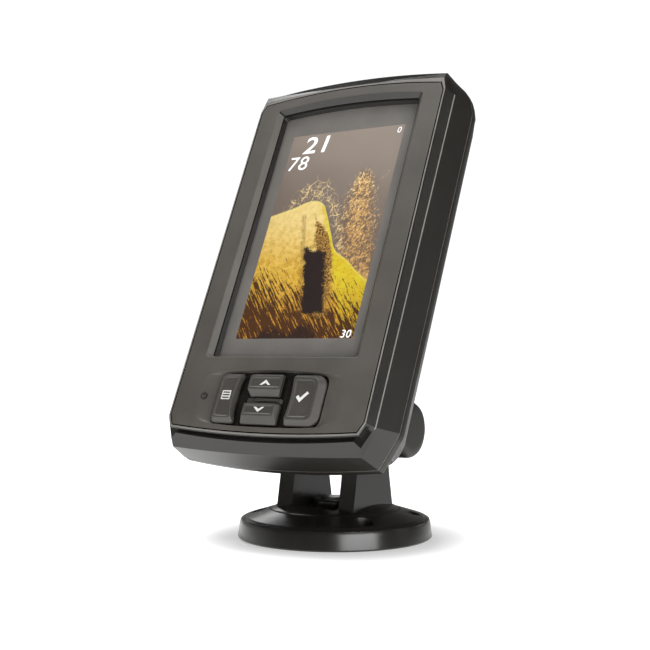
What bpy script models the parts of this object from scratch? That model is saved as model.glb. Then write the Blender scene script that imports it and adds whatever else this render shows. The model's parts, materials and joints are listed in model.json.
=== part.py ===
"""Portrait fish finder on a tilt and swivel deck mount, built piece by piece.

World frame: origin at the centre of the mount's underside, +Z up, screen facing -Y.
Head frame: x across the screen, y = depth behind the screen plane, z up along the screen.
Every length below is in millimetres and is scaled to metres when a mesh is made.
"""
import math

import bmesh
import bpy
from mathutils import Vector

MM = 0.001

# Head pose and joints
HEAD_TILT_DEG = 25.4
PIVOT_Z = 43.6
SCREEN_CENTRE_Y = -9.31
SCREEN_CENTRE_Z = 121.19

# Depths in the head frame, measured forward (+) of the screen plane
FACE_W = 6.0
FACE_BACK_W = 4.0
SEAT_W = 3.7
WALL_BACK_W = 1.4
PARTING_W = -10.0
REAR_START_W = -10.4
REAR_BACK_W = -28.0

# The chin recedes from this height down, over this run
CHIN_TOP_V = -82.0
CHIN_RUN = 9.0

# Display, a 4.3 inch 16:9 panel standing upright in a bonded window
GLASS_FRONT_W = 1.0
GLASS_BACK_W = -0.4
CELL_HALF_W = 30.0
CELL_TOP = 50.5
CELL_BOTTOM = -51.0

# Keypad, as u0, u1, v0, v1, corner radius
POCKET_BOX = (-24.6, 24.6, -85.2, -63.8, 4.0)
KEY_TOP_W = 7.4
KEY_FOOT_W = 4.7
FLANGE_BACK_W = 0.2
FLANGE_FRONT_W = 1.1

# Key: name, cap outline at its foot, cap outline at its crown, stem without its radius
KEYS = (
    ("menu_key", (-24.0, -13.2, -84.6, -64.5, 3.4), (-22.8, -14.0, -82.6, -66.0, 2.0),
     (-21.6, -15.4, -81.5, -67.5)),
    ("up_key", (-9.8, 6.2, -73.7, -64.5, 0.9), (-9.0, 5.4, -71.2, -65.9, 0.8),
     (-6.5, 3.0, -71.2, -66.8)),
    ("down_key", (-9.8, 6.2, -84.6, -76.5, 0.9), (-9.0, 5.4, -82.8, -77.0, 0.8),
     (-6.5, 3.0, -82.0, -78.0)),
    ("check_key", (9.8, 24.0, -84.6, -64.5, 3.4), (10.8, 21.8, -82.6, -66.0, 2.0),
     (12.6, 20.0, -81.5, -67.5)),
)

# Cable sockets on the case's back
SOCKET_U = 15.0
SOCKET_V = -22.0
SOCKET_HOLE_R = 6.3

# Boards, as front and back faces behind the screen plane
KEYPAD_BOARD_W = (-4.1, -5.4)
MAIN_BOARD_W = (-7.8, -9.4)
PARTS_ON_BOARD_Y = 9.7

# Deck mount
BASE_R = 38.8
FOOT_R = 25.7
ARM_INNER_X = 10.9
ARM_OUTER_X = 17.85
ARM_TOP_R = 10.5
LUG_HALF_X = 9.6
LUG_R = 9.5
SCREW_HOLE_R = 2.0
COUNTERBORE_R = 3.7
SCREW_CIRCLE_R = 30.5
SCREW_AZIMUTHS_DEG = (53.0, 116.0, -64.0, -127.0)
KNOB_R = 11.0
BOLT_R = 3.0

# Case screws, as u, v
CASE_SCREW_SPOTS = ((40.0, 61.5), (42.4, -8.0), (40.0, -84.5),
                    (-40.0, 61.5), (-42.4, -8.0), (-40.0, -84.5))
CASE_SCREW_R = 1.25
POST_R = 3.3
REAR_POST_R = 4.3

SMOOTH_ANGLE_DEG = 32.0


# ---------------------------------------------------------------- scene helpers

def clear_scene():
    for item in list(bpy.data.objects):
        bpy.data.objects.remove(item, do_unlink=True)


def make_material(name, colour, roughness, metallic=0.0):
    material = bpy.data.materials.new(name)
    material.use_nodes = True
    shader = material.node_tree.nodes["Principled BSDF"]
    shader.inputs["Base Color"].default_value = (*colour, 1.0)
    shader.inputs["Roughness"].default_value = roughness
    shader.inputs["Metallic"].default_value = metallic
    return material


def add_object(name, vertices, faces, material=None, parent=None, location=(0, 0, 0)):
    mesh = bpy.data.meshes.new(name)
    work = bmesh.new()
    made = [work.verts.new((x * MM, y * MM, z * MM)) for x, y, z in vertices]
    for face in faces:
        work.faces.new([made[i] for i in face])
    bmesh.ops.recalc_face_normals(work, faces=work.faces)
    wide = [face for face in work.faces if len(face.verts) > 4]
    bmesh.ops.triangulate(work, faces=wide)
    work.to_mesh(mesh)
    work.free()
    mesh.shade_smooth()
    mesh.set_sharp_from_angle(angle=math.radians(SMOOTH_ANGLE_DEG))
    item = bpy.data.objects.new(name, mesh)
    bpy.context.scene.collection.objects.link(item)
    if material:
        mesh.materials.append(material)
    if parent:
        item.parent = parent
    item.location = Vector(location) * MM
    return item


def add_empty(name, location, parent=None, rotation=(0, 0, 0)):
    item = bpy.data.objects.new(name, None)
    bpy.context.scene.collection.objects.link(item)
    item.parent = parent
    item.location = Vector(location) * MM
    item.rotation_euler = rotation
    return item


def add_boolean(target, cutter, operation="DIFFERENCE"):
    cutter.hide_render = True
    cutter.display_type = "WIRE"
    modifier = target.modifiers.new(cutter.name, "BOOLEAN")
    modifier.operation = operation
    modifier.solver = "EXACT"
    modifier.object = cutter


# ---------------------------------------------------------------- shape helpers

def joined(*shapes):
    """Several closed shapes, each (vertices, faces), as one set of islands."""
    vertices = []
    faces = []
    for points, polygons in shapes:
        start = len(vertices)
        vertices.extend(points)
        faces.extend([tuple(i + start for i in polygon) for polygon in polygons])
    return vertices, faces


def loft(rings):
    """Closed solid through rings of equal length, with both ends capped."""
    count = len(rings[0])
    vertices = [point for ring in rings for point in ring]
    faces = [tuple(range(count)), tuple(range((len(rings) - 1) * count, len(rings) * count))]
    for r in range(len(rings) - 1):
        for i in range(count):
            j = (i + 1) % count
            faces.append((r * count + i, r * count + j, (r + 1) * count + j, (r + 1) * count + i))
    return vertices, faces


def tube(rings):
    """Closed ring of material: the rings join up last to first."""
    count = len(rings[0])
    total = len(rings)
    vertices = [point for ring in rings for point in ring]
    faces = []
    for r in range(total):
        s = (r + 1) % total
        for i in range(count):
            j = (i + 1) % count
            faces.append((r * count + i, r * count + j, s * count + j, s * count + i))
    return vertices, faces


def circle(radius, segments, phase=0.0):
    step = 2.0 * math.pi / segments
    angles = [phase + i * step for i in range(segments)]
    return [(radius * math.cos(angle), radius * math.sin(angle)) for angle in angles]


def turned(profile, segments, axis="Z", centre=(0.0, 0.0, 0.0), phase=0.0):
    """Revolve (radius, distance) pairs. Open profiles are capped, so a ring must close on itself."""
    rings = []
    for radius, distance in profile:
        ring = []
        for a, b in circle(radius, segments, phase):
            point = {"X": (distance, a, b), "Y": (a, distance, b), "Z": (a, b, distance)}[axis]
            ring.append(tuple(p + c for p, c in zip(point, centre)))
        rings.append(ring)
    return rings


def turned_solid(profile, segments, axis="Z", centre=(0.0, 0.0, 0.0), phase=0.0):
    return loft(turned(profile, segments, axis, centre, phase))


def turned_ring(profile, segments, axis="Z", centre=(0.0, 0.0, 0.0), phase=0.0):
    return tube(turned(profile, segments, axis, centre, phase))


def box(x0, x1, y0, y1, z0, z1):
    lower = [(x0, y0, z0), (x1, y0, z0), (x1, y1, z0), (x0, y1, z0)]
    upper = [(x, y, z1) for x, y, z in lower]
    return loft([lower, upper])


def rounded(u0, u1, v0, v1, radius, steps=3):
    """Rounded rectangle as (u, v) points, counter-clockwise from the lower right."""
    points = []
    corners = ((u1 - radius, v0 + radius, -90), (u1 - radius, v1 - radius, 0))
    corners += ((u0 + radius, v1 - radius, 90), (u0 + radius, v0 + radius, 180))
    for cu, cv, start in corners:
        for i in range(steps + 1):
            angle = math.radians(start + 90.0 * i / steps)
            points.append((cu + radius * math.cos(angle), cv + radius * math.sin(angle)))
    return points


def head_ring(points, w):
    """(u, v) points at depth w, in head coordinates."""
    return [(u, -w, v) for u, v in points]


def plate(points, w0, w1):
    return loft([head_ring(points, w0), head_ring(points, w1)])


def plate_ring(outer, inner, w0, w1):
    return tube([head_ring(outer, w0), head_ring(outer, w1), head_ring(inner, w1), head_ring(inner, w0)])


def offset(points, distance):
    """Move a closed (u, v) outline inward by a distance, mitred at its corners."""
    count = len(points)
    area = sum(points[i][0] * points[(i + 1) % count][1] - points[(i + 1) % count][0] * points[i][1]
               for i in range(count))
    sign = 1.0 if area > 0 else -1.0
    result = []
    for i in range(count):
        before = Vector(points[i]) - Vector(points[i - 1])
        after = Vector(points[(i + 1) % count]) - Vector(points[i])
        n0 = Vector((-before.y, before.x)).normalized() * sign
        n1 = Vector((-after.y, after.x)).normalized() * sign
        middle = (n0 + n1).normalized()
        reach = distance / max(0.5, middle.dot(n0))
        result.append((points[i][0] + middle.x * reach, points[i][1] + middle.y * reach))
    return result


# ---------------------------------------------------------------- case outlines

# Each outline: top centre v, top corner start, its control, its end,
# bottom corner start, its control, its end, bottom centre v (half the outline; mirrored).
OUTLINES = {
    "face": (65.15, (41.9, 61.7), (42.7, 59.9), (43.5, 58.1),
             (43.3, -82.0), (42.3, -84.0), (41.3, -86.0), -87.9),
    "lip": (66.0, (42.7, 63.6), (43.5, 61.1), (44.25, 58.6),
            (44.1, -82.3), (43.1, -84.5), (42.1, -86.7), -88.8),
    "lip_edge": (66.8, (43.1, 66.2), (43.9, 62.4), (44.6, 58.7),
                 (44.4, -82.4), (43.4, -84.8), (42.3, -87.2), -89.3),
    "shoulder": (71.4, (41.9, 68.5), (44.7, 62.8), (47.4, 57.1),
                 (46.5, -82.7), (44.4, -88.0), (42.3, -93.2), -94.6),
    "rim": (73.3, (40.6, 71.0), (47.0, 67.8), (49.8, 56.0),
            (49.1, -79.8), (46.9, -87.1), (43.8, -93.9), -96.6),
    "well": (62.6, (37.5, 60.2), (41.0, 59.4), (41.3, 53.5),
             (41.2, -77.5), (40.9, -83.8), (36.5, -84.6), -86.0),
    "cove": (67.8, (38.2, 64.8), (42.2, 63.6), (43.0, 56.6),
             (43.8, -78.5), (43.3, -87.6), (38.8, -88.8), -91.0),
    "back_slope": (69.0, (38.0, 66.8), (44.3, 64.0), (45.5, 54.0),
                   (45.5, -80.0), (44.2, -87.8), (38.5, -89.0), -91.3),
    "back": (58.0, (30.0, 56.6), (36.8, 55.0), (37.5, 47.0),
             (37.5, -67.0), (36.8, -76.4), (30.0, -77.6), -78.5),
}


def bend(p0, p1, p2, s):
    """Point on a quadratic curve."""
    a = (1 - s) ** 2
    b = 2 * s * (1 - s)
    c = s * s
    return (a * p0[0] + b * p1[0] + c * p2[0], a * p0[1] + b * p1[1] + c * p2[1])


def case_outline(name, inset=0.0):
    top, t1, tc, t2, b2, bc, b1, bottom = OUTLINES[name]
    half = []
    for i in range(8):
        s = i / 8
        half.append((t1[0] * s, top - (top - t1[1]) * s * s))
    for i in range(5):
        half.append(bend(t1, tc, t2, i / 5))
    half.append(t2)
    for i in range(5):
        half.append(bend(b2, bc, b1, i / 5))
    for i in range(6):
        s = 1 - i / 6
        half.append((b1[0] * s, bottom - (bottom - b1[1]) * s * s))
    half.append((0.0, bottom))
    points = half + [(-u, v) for u, v in reversed(half[1:-1])]
    return offset(points, inset) if inset else points


def case_ring(name, w, inset=0.0, bottom_w=None):
    """Outline ring at depth w; bottom_w gives the chin its own depth."""
    ring = []
    for u, v in case_outline(name, inset):
        share = min(1.0, max(0.0, (CHIN_TOP_V - v) / CHIN_RUN)) if bottom_w is not None else 0.0
        depth = w + (bottom_w - w) * share if share else w
        ring.append((u, -depth, v))
    return ring


def window_outline(half_w, top_centre, top_edge, bottom, radius=1.6):
    """Display opening: straight sides, gently arched top, rounded corners."""
    points = []
    for cu, cv, start in ((half_w - radius, bottom + radius, -90), (half_w - radius, top_edge - radius, 0)):
        for i in range(4):
            angle = math.radians(start + 30.0 * i)
            points.append((cu + radius * math.cos(angle), cv + radius * math.sin(angle)))
    for i in range(1, 8):
        s = 1 - i / 4
        points.append(((half_w - radius) * s, top_centre - (top_centre - top_edge) * s * s))
    points += [(-u, v) for u, v in reversed(points[:8])]
    return points


# ---------------------------------------------------------------- head pieces

def front_housing(material, parent):
    """Front half of the case: glossy shoulder, side walls, chin, screw posts, seal groove."""
    rings = [case_ring("face", SEAT_W, -0.3), case_ring("face", FACE_W, -0.3), case_ring("lip", FACE_W)]
    rings += [case_ring("lip_edge", 5.5), case_ring("shoulder", 2.7, bottom_w=0.6)]
    rings += [case_ring("rim", PARTING_W)]
    housing = add_object("front_housing", *loft(rings), material, parent)

    inner = [case_ring("rim", PARTING_W - 0.5, 3.2), case_ring("cove", -3.0), case_ring("well", WALL_BACK_W)]
    add_boolean(housing, add_object("cut_front_cavity", *loft(inner), None, parent))
    posts = []
    for u, v in CASE_SCREW_SPOTS:
        posts.append(turned_solid(((POST_R, 9.85), (POST_R, -2.4)), 14, "Y", (u, 0.0, v)))
    add_boolean(housing, add_object("join_front_posts", *joined(*posts), None, parent), "UNION")

    cuts = [loft([head_ring(window_outline(32.5, 58.1, 56.4, -57.2), SEAT_W + 0.5),
                  head_ring(window_outline(32.1, 57.8, 56.1, -57.0), WALL_BACK_W - 0.5)])]
    for key in KEYS:
        cuts.append(plate(stem_outline(key, -0.5), WALL_BACK_W - 0.5, SEAT_W + 0.5))
    for u, v in CASE_SCREW_SPOTS:
        pilot = ((CASE_SCREW_R + 0.25, 11.0), (CASE_SCREW_R + 0.25, 1.2))
        cuts.append(turned_solid(pilot, 10, "Y", (u, 0.0, v)))
    groove = (case_outline("rim", 0.8), case_outline("rim", 2.5))
    cuts.append(plate_ring(*groove, PARTING_W - 0.5, PARTING_W + 1.4))
    add_boolean(housing, add_object("cut_front_openings", *joined(*cuts), None, parent))
    return housing


def rear_housing(material, parent):
    """Rear half of the case, with the tilt lug that sits between the mount's arms."""
    rings = [case_ring("rim", REAR_START_W, 0.25), case_ring("rim", REAR_START_W - 0.7)]
    rings += [case_ring("rim", -13.0), case_ring("rim", -14.4, 0.9), case_ring("back_slope", -21.0)]
    rings += [case_ring("back", -27.2, -0.9), case_ring("back", REAR_BACK_W)]
    housing = add_object("rear_housing", *loft(rings), material, parent)

    inner = [case_ring("rim", REAR_START_W + 0.5, 3.2), case_ring("rim", -13.6, 3.2)]
    inner += [case_ring("back_slope", -20.2, 2.4), case_ring("back", REAR_BACK_W + 2.2, 1.6)]
    cavity = add_object("cut_rear_cavity", *loft(inner), None, parent)
    posts = []
    for u, v in CASE_SCREW_SPOTS:
        posts.append(turned_solid(((REAR_POST_R, 9.0), (REAR_POST_R, 27.5)), 14, "Y", (u, 0.0, v)))
    add_boolean(cavity, add_object("cut_rear_posts", *joined(*posts), None, parent))
    add_boolean(housing, cavity)

    lug = add_object("join_lug", *tilt_lug(), None, parent)
    add_boolean(housing, lug, "UNION")

    cuts = []
    for u, v in CASE_SCREW_SPOTS:
        well = ((CASE_SCREW_R + 0.45, 9.0), (CASE_SCREW_R + 0.45, 18.2), (3.1, 18.2), (3.1, 32.0))
        cuts.append(turned_solid(well, 14, "Y", (u, 0.0, v)))
    for u in (-SOCKET_U, SOCKET_U):
        hole = ((SOCKET_HOLE_R, 24.0), (SOCKET_HOLE_R, 30.0))
        cuts.append(turned_solid(hole, 28, "Y", (u, 0.0, SOCKET_V)))
    pv, pw = pivot_in_head()
    bolt_hole = ((BOLT_R + 0.2, -LUG_HALF_X - 2.4), (BOLT_R + 0.2, LUG_HALF_X + 2.4))
    cuts.append(turned_solid(bolt_hole, 28, "X", (0.0, -pw, pv)))
    add_boolean(housing, add_object("cut_rear_openings", *joined(*cuts), None, parent))
    return housing


def pivot_in_head():
    """Tilt axis as (v, w) in the head frame."""
    tilt = math.radians(HEAD_TILT_DEG)
    dy = -SCREEN_CENTRE_Y
    dz = PIVOT_Z - SCREEN_CENTRE_Z
    return dy * math.sin(tilt) + dz * math.cos(tilt), -dy * math.cos(tilt) + dz * math.sin(tilt)


def tilt_lug():
    """Lug standing off the case's back, rounded about the tilt axis."""
    pv, pw = pivot_in_head()
    side = [(-27.0, -52.0), (-27.0, -77.0)]
    for i in range(15):
        angle = math.radians(-68.0 - 224.0 * i / 14)
        side.append((pw + LUG_R * math.cos(angle), pv + LUG_R * math.sin(angle)))
    left = [(-LUG_HALF_X, -w, v) for w, v in side]
    right = [(LUG_HALF_X, -w, v) for w, v in side]
    return loft([left, right])


def face_plate(material, parent):
    """Satin face plate round the display, opened for the keys."""
    rings = [case_ring("face", FACE_BACK_W), case_ring("face", FACE_W - 0.4)]
    rings += [case_ring("face", FACE_W, 0.35)]
    plate_object = add_object("face_plate", *loft(rings), material, parent)
    window = [head_ring(window_outline(32.7, 59.0, 56.4, -57.0), FACE_BACK_W - 0.5),
              head_ring(window_outline(35.2, 61.3, 58.7, -57.6), FACE_W + 0.5)]
    opening = rounded(*POCKET_BOX, 4)
    pocket = [head_ring(opening, FACE_BACK_W - 0.5), head_ring(opening, FACE_W - 0.5)]
    pocket += [head_ring(offset(opening, -1.0), FACE_W + 0.5)]
    cutter = add_object("cut_face_openings", *joined(loft(window), loft(pocket)), None, parent)
    add_boolean(plate_object, cutter)
    return plate_object


# ---------------------------------------------------------------- keys

def stem_outline(key, inset=0.0):
    u0, u1, v0, v1 = key[3]
    return rounded(u0 + inset, u1 - inset, v0 + inset, v1 - inset, 0.8)


def key_cap(key, material, parent):
    """One key: retaining flange, stem, bevelled cap and a sunken thumb pad, lofted as one solid."""
    name, foot, crown, stem = key
    cu = (foot[0] + foot[1]) / 2
    cv = (foot[2] + foot[3]) / 2
    flange = rounded(stem[0] - 0.6, stem[1] + 0.6, stem[2] - 0.6, stem[3] + 0.6, 0.8)
    pad = rounded(crown[0] + 0.9, crown[1] - 0.9, crown[2] + 0.9, crown[3] - 0.9, max(0.5, crown[4] - 0.6))
    layers = [(flange, FLANGE_BACK_W), (flange, FLANGE_FRONT_W)]
    layers += [(stem_outline(key), FLANGE_FRONT_W), (stem_outline(key), KEY_FOOT_W)]
    layers += [(rounded(*foot), KEY_FOOT_W), (rounded(*foot), KEY_FOOT_W + 0.9)]
    layers += [(rounded(*crown), KEY_TOP_W), (pad, KEY_TOP_W - 0.35)]
    rings = [[(u - cu, -w, v - cv) for u, v in points] for points, w in layers]
    return add_object(name, *loft(rings), material, parent, (cu, 0.0, cv))


def keypad_parts(mats, head):
    """Keys, the bar between the up and down keys, the rubber mat, its board and the switches."""
    for key in KEYS:
        key_cap(key, mats["key_plastic"], head)
    ridge = loft([head_ring(rounded(-9.6, 6.0, -76.2, -74.0, 0.6), SEAT_W + 0.3),
                  head_ring(rounded(-9.4, 5.8, -76.1, -74.1, 0.6), 5.0),
                  head_ring(rounded(-5.0, 5.0, -75.6, -74.5, 0.4), 5.2),
                  head_ring(rounded(-4.8, 4.8, -75.5, -74.6, 0.4), 6.3)])
    add_object("keypad_divider", *ridge, mats["face_satin"], head)

    mat = plate(rounded(-30.0, 30.0, -88.0, -61.0, 3.0), -2.3, -1.5)
    mat_object = add_object("keypad_mat", *mat, mats["rubber_grey"], head)
    domes = []
    for key in KEYS:
        u, v = key_centre(key)
        domes.append(turned_solid(((3.0, 2.0), (3.0, 1.5), (1.8, 1.05)), 16, "Y", (u, 0.0, v)))
    add_boolean(mat_object, add_object("join_domes", *joined(*domes), None, head), "UNION")

    board = plate(rounded(-34.0, 34.0, -89.0, -60.5, 1.5, 2), *KEYPAD_BOARD_W)
    add_object("keypad_board", *board, mats["board_green"], head)
    for key in KEYS:
        u, v = key_centre(key)
        can = ((2.9, 3.8), (2.9, 3.0), (1.6, 2.9), (1.6, 2.6))
        switch = turned_solid(can, 12, "Y", phase=math.pi / 12)
        add_object("switch_" + key[0], *switch, mats["steel"], head, (u, 0.0, v))


def key_centre(key):
    u0, u1, v0, v1 = key[3]
    return (u0 + u1) / 2, (v0 + v1) / 2


# ---------------------------------------------------------------- display and electronics

def display_parts(mats, head):
    """Window, its gasket, and the display's layers in their steel tray."""
    glass = plate(window_outline(34.4, 60.0, 58.3, -59.0, 2.0), GLASS_BACK_W, GLASS_FRONT_W)
    add_object("display_window", *glass, mats["window_clear"], head)
    outer = window_outline(36.0, 61.6, 59.9, -59.9, 3.0)
    inner = window_outline(34.8, 60.4, 58.7, -59.3, 2.3)
    gasket = plate_ring(outer, inner, GLASS_BACK_W, GLASS_FRONT_W)
    add_object("window_gasket", *gasket, mats["rubber_black"], head)

    cell = rounded(-CELL_HALF_W, CELL_HALF_W, CELL_BOTTOM, CELL_TOP, 0.6, 1)
    for name, w0, w1, look in (("lcd_panel", -2.1, -0.9, "lcd_glass"),
                               ("lcd_diffuser", -3.0, -2.4, "diffuser_white"),
                               ("light_guide", -4.4, -3.3, "acrylic_clear")):
        add_object(name, *plate(cell, w0, w1), mats[look], head)
    wall = offset(cell, -1.3)
    bore = offset(cell, -0.4)
    tray = loft([head_ring(bore, -4.7), head_ring(bore, -0.9), head_ring(wall, -0.9), head_ring(wall, -5.3)])
    add_object("lcd_tray", *tray, mats["steel"], head)


def board_parts(mats, head):
    """Main board, what stands on its back, the flex to the keypad board, and the case's seal."""
    board = plate(rounded(-37.0, 37.0, -80.0, 54.0, 2.0, 2), *MAIN_BOARD_W)
    add_object("main_board", *board, mats["board_green"], head)
    lid = rounded(-16.0, 16.0, 2.0, 34.0, 1.5, 2)
    shield = loft([head_ring(lid, -PARTS_ON_BOARD_Y), head_ring(lid, -12.4),
                   head_ring(offset(lid, 0.6), -12.9)])
    add_object("processor_shield", *shield, mats["steel"], head)
    header = plate(rounded(-20.0, 20.0, -34.0, -28.0, 0.6, 1), -PARTS_ON_BOARD_Y, -14.5)
    add_object("socket_header", *header, mats["nylon_white"], head)
    can = turned_solid(((7.0, PARTS_ON_BOARD_Y), (7.0, 20.0), (6.0, 20.8)), 24, "Y", (24.0, 0.0, -44.0))
    add_object("sonar_transformer", *can, mats["ferrite_black"], head)
    can = turned_solid(((5.0, PARTS_ON_BOARD_Y), (5.0, 21.0), (4.5, 21.6)), 20, "Y", (24.0, 0.0, -62.0))
    add_object("power_capacitor", *can, mats["foil_blue"], head)
    profile = ((6.0, PARTS_ON_BOARD_Y), (6.0, 15.0), (1.2, 15.0), (1.2, 12.0), (0.9, 12.0),
               (0.9, PARTS_ON_BOARD_Y))
    sounder = turned_ring(profile, 24, "Y", (-24.0, 0.0, -50.0))
    add_object("alarm_sounder", *sounder, mats["ferrite_black"], head)
    add_object("lcd_ribbon", *ribbon(8.0), mats["ribbon_amber"], head)
    seal = plate_ring(case_outline("rim", 1.1), case_outline("rim", 2.2), PARTING_W - 0.15, PARTING_W + 1.05)
    add_object("housing_seal", *seal, mats["rubber_black"], head)


def ribbon(half_width):
    """Flat flex folded over between the keypad board's back and the main board's front."""
    outside = [(-5.9, -62.0), (-6.05, -57.5), (-6.62, -55.9), (-7.34, -57.4), (-7.54, -64.0)]
    inside = [(-7.38, -64.0), (-7.18, -57.6), (-6.64, -56.2), (-6.2, -57.6), (-6.06, -62.0)]
    sides = []
    for u in (-half_width, half_width):
        sides.append([(u, -w, v) for w, v in outside + inside])
    return loft(sides)


def cable_socket(name, u, pins, pin_circle, mats, head):
    """Panel socket on the case's back: flanged barrel, keyed mouth and contact pins."""
    profile = ((5.9, 25.0), (5.9, 28.3), (7.6, 28.3), (7.6, 29.8), (6.4, 29.8), (6.4, 38.0), (6.0, 38.4))
    profile += ((5.0, 38.4), (5.0, 29.0))
    barrel = turned_solid(profile, 22, "Y")
    body = add_object(name, *barrel, mats["socket_black"], head, (u, 0.0, SOCKET_V))
    contacts = []
    for i in range(pins):
        angle = 2 * math.pi * i / pins + math.pi / 4
        spot = (u + pin_circle * math.cos(angle), 0.0, SOCKET_V + pin_circle * math.sin(angle))
        contacts.append(turned_solid(((0.6, 28.4), (0.6, 30.9), (0.3, 31.4)), 8, "Y", spot))
    contacts.append(box(u - 0.8, u + 0.8, 28.6, 37.5, SOCKET_V + 4.3, SOCKET_V + 5.4))
    joiner = add_object("join_contacts_" + name, *joined(*contacts), None, head)
    add_boolean(body, joiner, "UNION")


def case_screws(mats, head):
    for number, (u, v) in enumerate(CASE_SCREW_SPOTS, 1):
        profile = ((CASE_SCREW_R, 2.6), (CASE_SCREW_R, 18.5), (2.7, 18.5), (2.7, 20.0), (1.9, 20.7))
        screw = turned_solid(profile, 10, "Y")
        add_object(f"case_screw_{number}", *screw, mats["steel"], head, (u, 0.0, v))


# ---------------------------------------------------------------- deck mount

def base_plate(material):
    """Round deck plate with a flat underside and a blind bore for the swivel insert."""
    outer = [(4.6, 1.5), (4.6, 8.0), (26.1, 8.0), (26.1, 11.1), (BASE_R - 3.4, 8.3), (BASE_R - 2.9, 7.7)]
    outer += [(BASE_R - 2.2, 7.9), (BASE_R - 1.2, 7.3), (BASE_R - 0.7, 6.0)]
    outer += [(BASE_R, 0.6), (BASE_R - 0.6, 0.0)]
    base = add_object("base_plate", *turned_solid(outer, 56), material)
    cuts = []
    for azimuth in SCREW_AZIMUTHS_DEG:
        angle = math.radians(azimuth)
        centre = (SCREW_CIRCLE_R * math.sin(angle), -SCREW_CIRCLE_R * math.cos(angle), 0.0)
        profile = ((SCREW_HOLE_R, -1.0), (SCREW_HOLE_R, 5.0), (COUNTERBORE_R, 5.0), (COUNTERBORE_R, 14.0))
        cuts.append(turned_solid(profile, 16, "Z", centre))
    add_boolean(base, add_object("cut_deck_screws", *joined(*cuts)))
    return base


def arm(side):
    """One tapering upright of the mount, rounded over about the tilt axis."""
    profile = [(-15.6, 9.9), (-15.0, 12.6), (-12.8, 23.75), (-10.9, 37.0)]
    for i in range(15):
        angle = math.radians(170.0 - 160.0 * i / 14)
        profile.append((ARM_TOP_R * math.cos(angle), PIVOT_Z + ARM_TOP_R * math.sin(angle)))
    profile += [(10.9, 37.0), (12.8, 23.75), (15.0, 12.6), (15.6, 9.9)]
    inner = [(side * ARM_INNER_X, y, z) for y, z in profile]
    outer = [(side * ARM_OUTER_X, y, z) for y, z in profile]
    return loft([inner, outer])


def swivel_bracket(material):
    """Turning foot with two arms and the hub that the swivel bolt passes through."""
    foot = [(FOOT_R, 9.3), (FOOT_R, 11.0), (FOOT_R - 0.5, 11.5), (23.4, 12.0), (18.2, 13.4), (12.0, 13.9)]
    bracket = add_object("swivel_bracket", *turned_solid(foot, 56), material)
    pocket = add_object("cut_foot_pocket", *box(-ARM_INNER_X, ARM_INNER_X, -17.5, 17.5, 10.8, 20.0))
    add_boolean(bracket, pocket)
    arms = add_object("join_arms", *joined(arm(-1), arm(1)))
    add_boolean(bracket, arms, "UNION")
    hub = add_object("join_hub", *turned_solid(((9.0, 10.0), (9.0, 14.4), (8.4, 15.0)), 32))
    add_boolean(bracket, hub, "UNION")
    cuts = [turned_solid(((2.9, 8.0), (2.9, 11.2), (6.0, 11.2), (6.0, 20.0)), 24)]
    cuts.append(turned_solid(((BOLT_R + 0.3, 5.0), (BOLT_R + 0.3, 25.0)), 24, "X", (0, 0, PIVOT_Z)))
    square = [(-3.5, -3.5), (3.5, -3.5), (3.5, 3.5), (-3.5, 3.5)]
    neck = [[(x, y, PIVOT_Z + z) for y, z in square] for x in (-25.0, -5.0)]
    cuts.append(loft(neck))
    add_boolean(bracket, add_object("cut_bracket_bores", *joined(*cuts)))
    return bracket


def mount_parts(mats):
    base_plate(mats["mount_black"])
    swivel_bracket(mats["mount_black"])
    ring = ((13.0, 8.3), (21.0, 8.3), (21.0, 9.0), (13.0, 9.0))
    add_object("friction_ring", *turned_ring(ring, 40), mats["nylon_white"])
    insert = ((2.8, 1.8), (4.2, 1.8), (4.2, 7.6), (2.8, 7.6))
    add_object("base_insert", *turned_ring(insert, 20), mats["brass"])
    washer = ((2.8, 11.5), (5.4, 11.5), (5.4, 12.3), (2.8, 12.3))
    add_object("swivel_washer", *turned_ring(washer, 20), mats["steel"])
    bolt = ((2.5, 1.9), (2.5, 12.6), (4.9, 12.6), (4.9, 15.2), (4.4, 15.8))
    add_object("swivel_bolt", *turned_solid(bolt, 18), mats["steel"])


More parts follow.
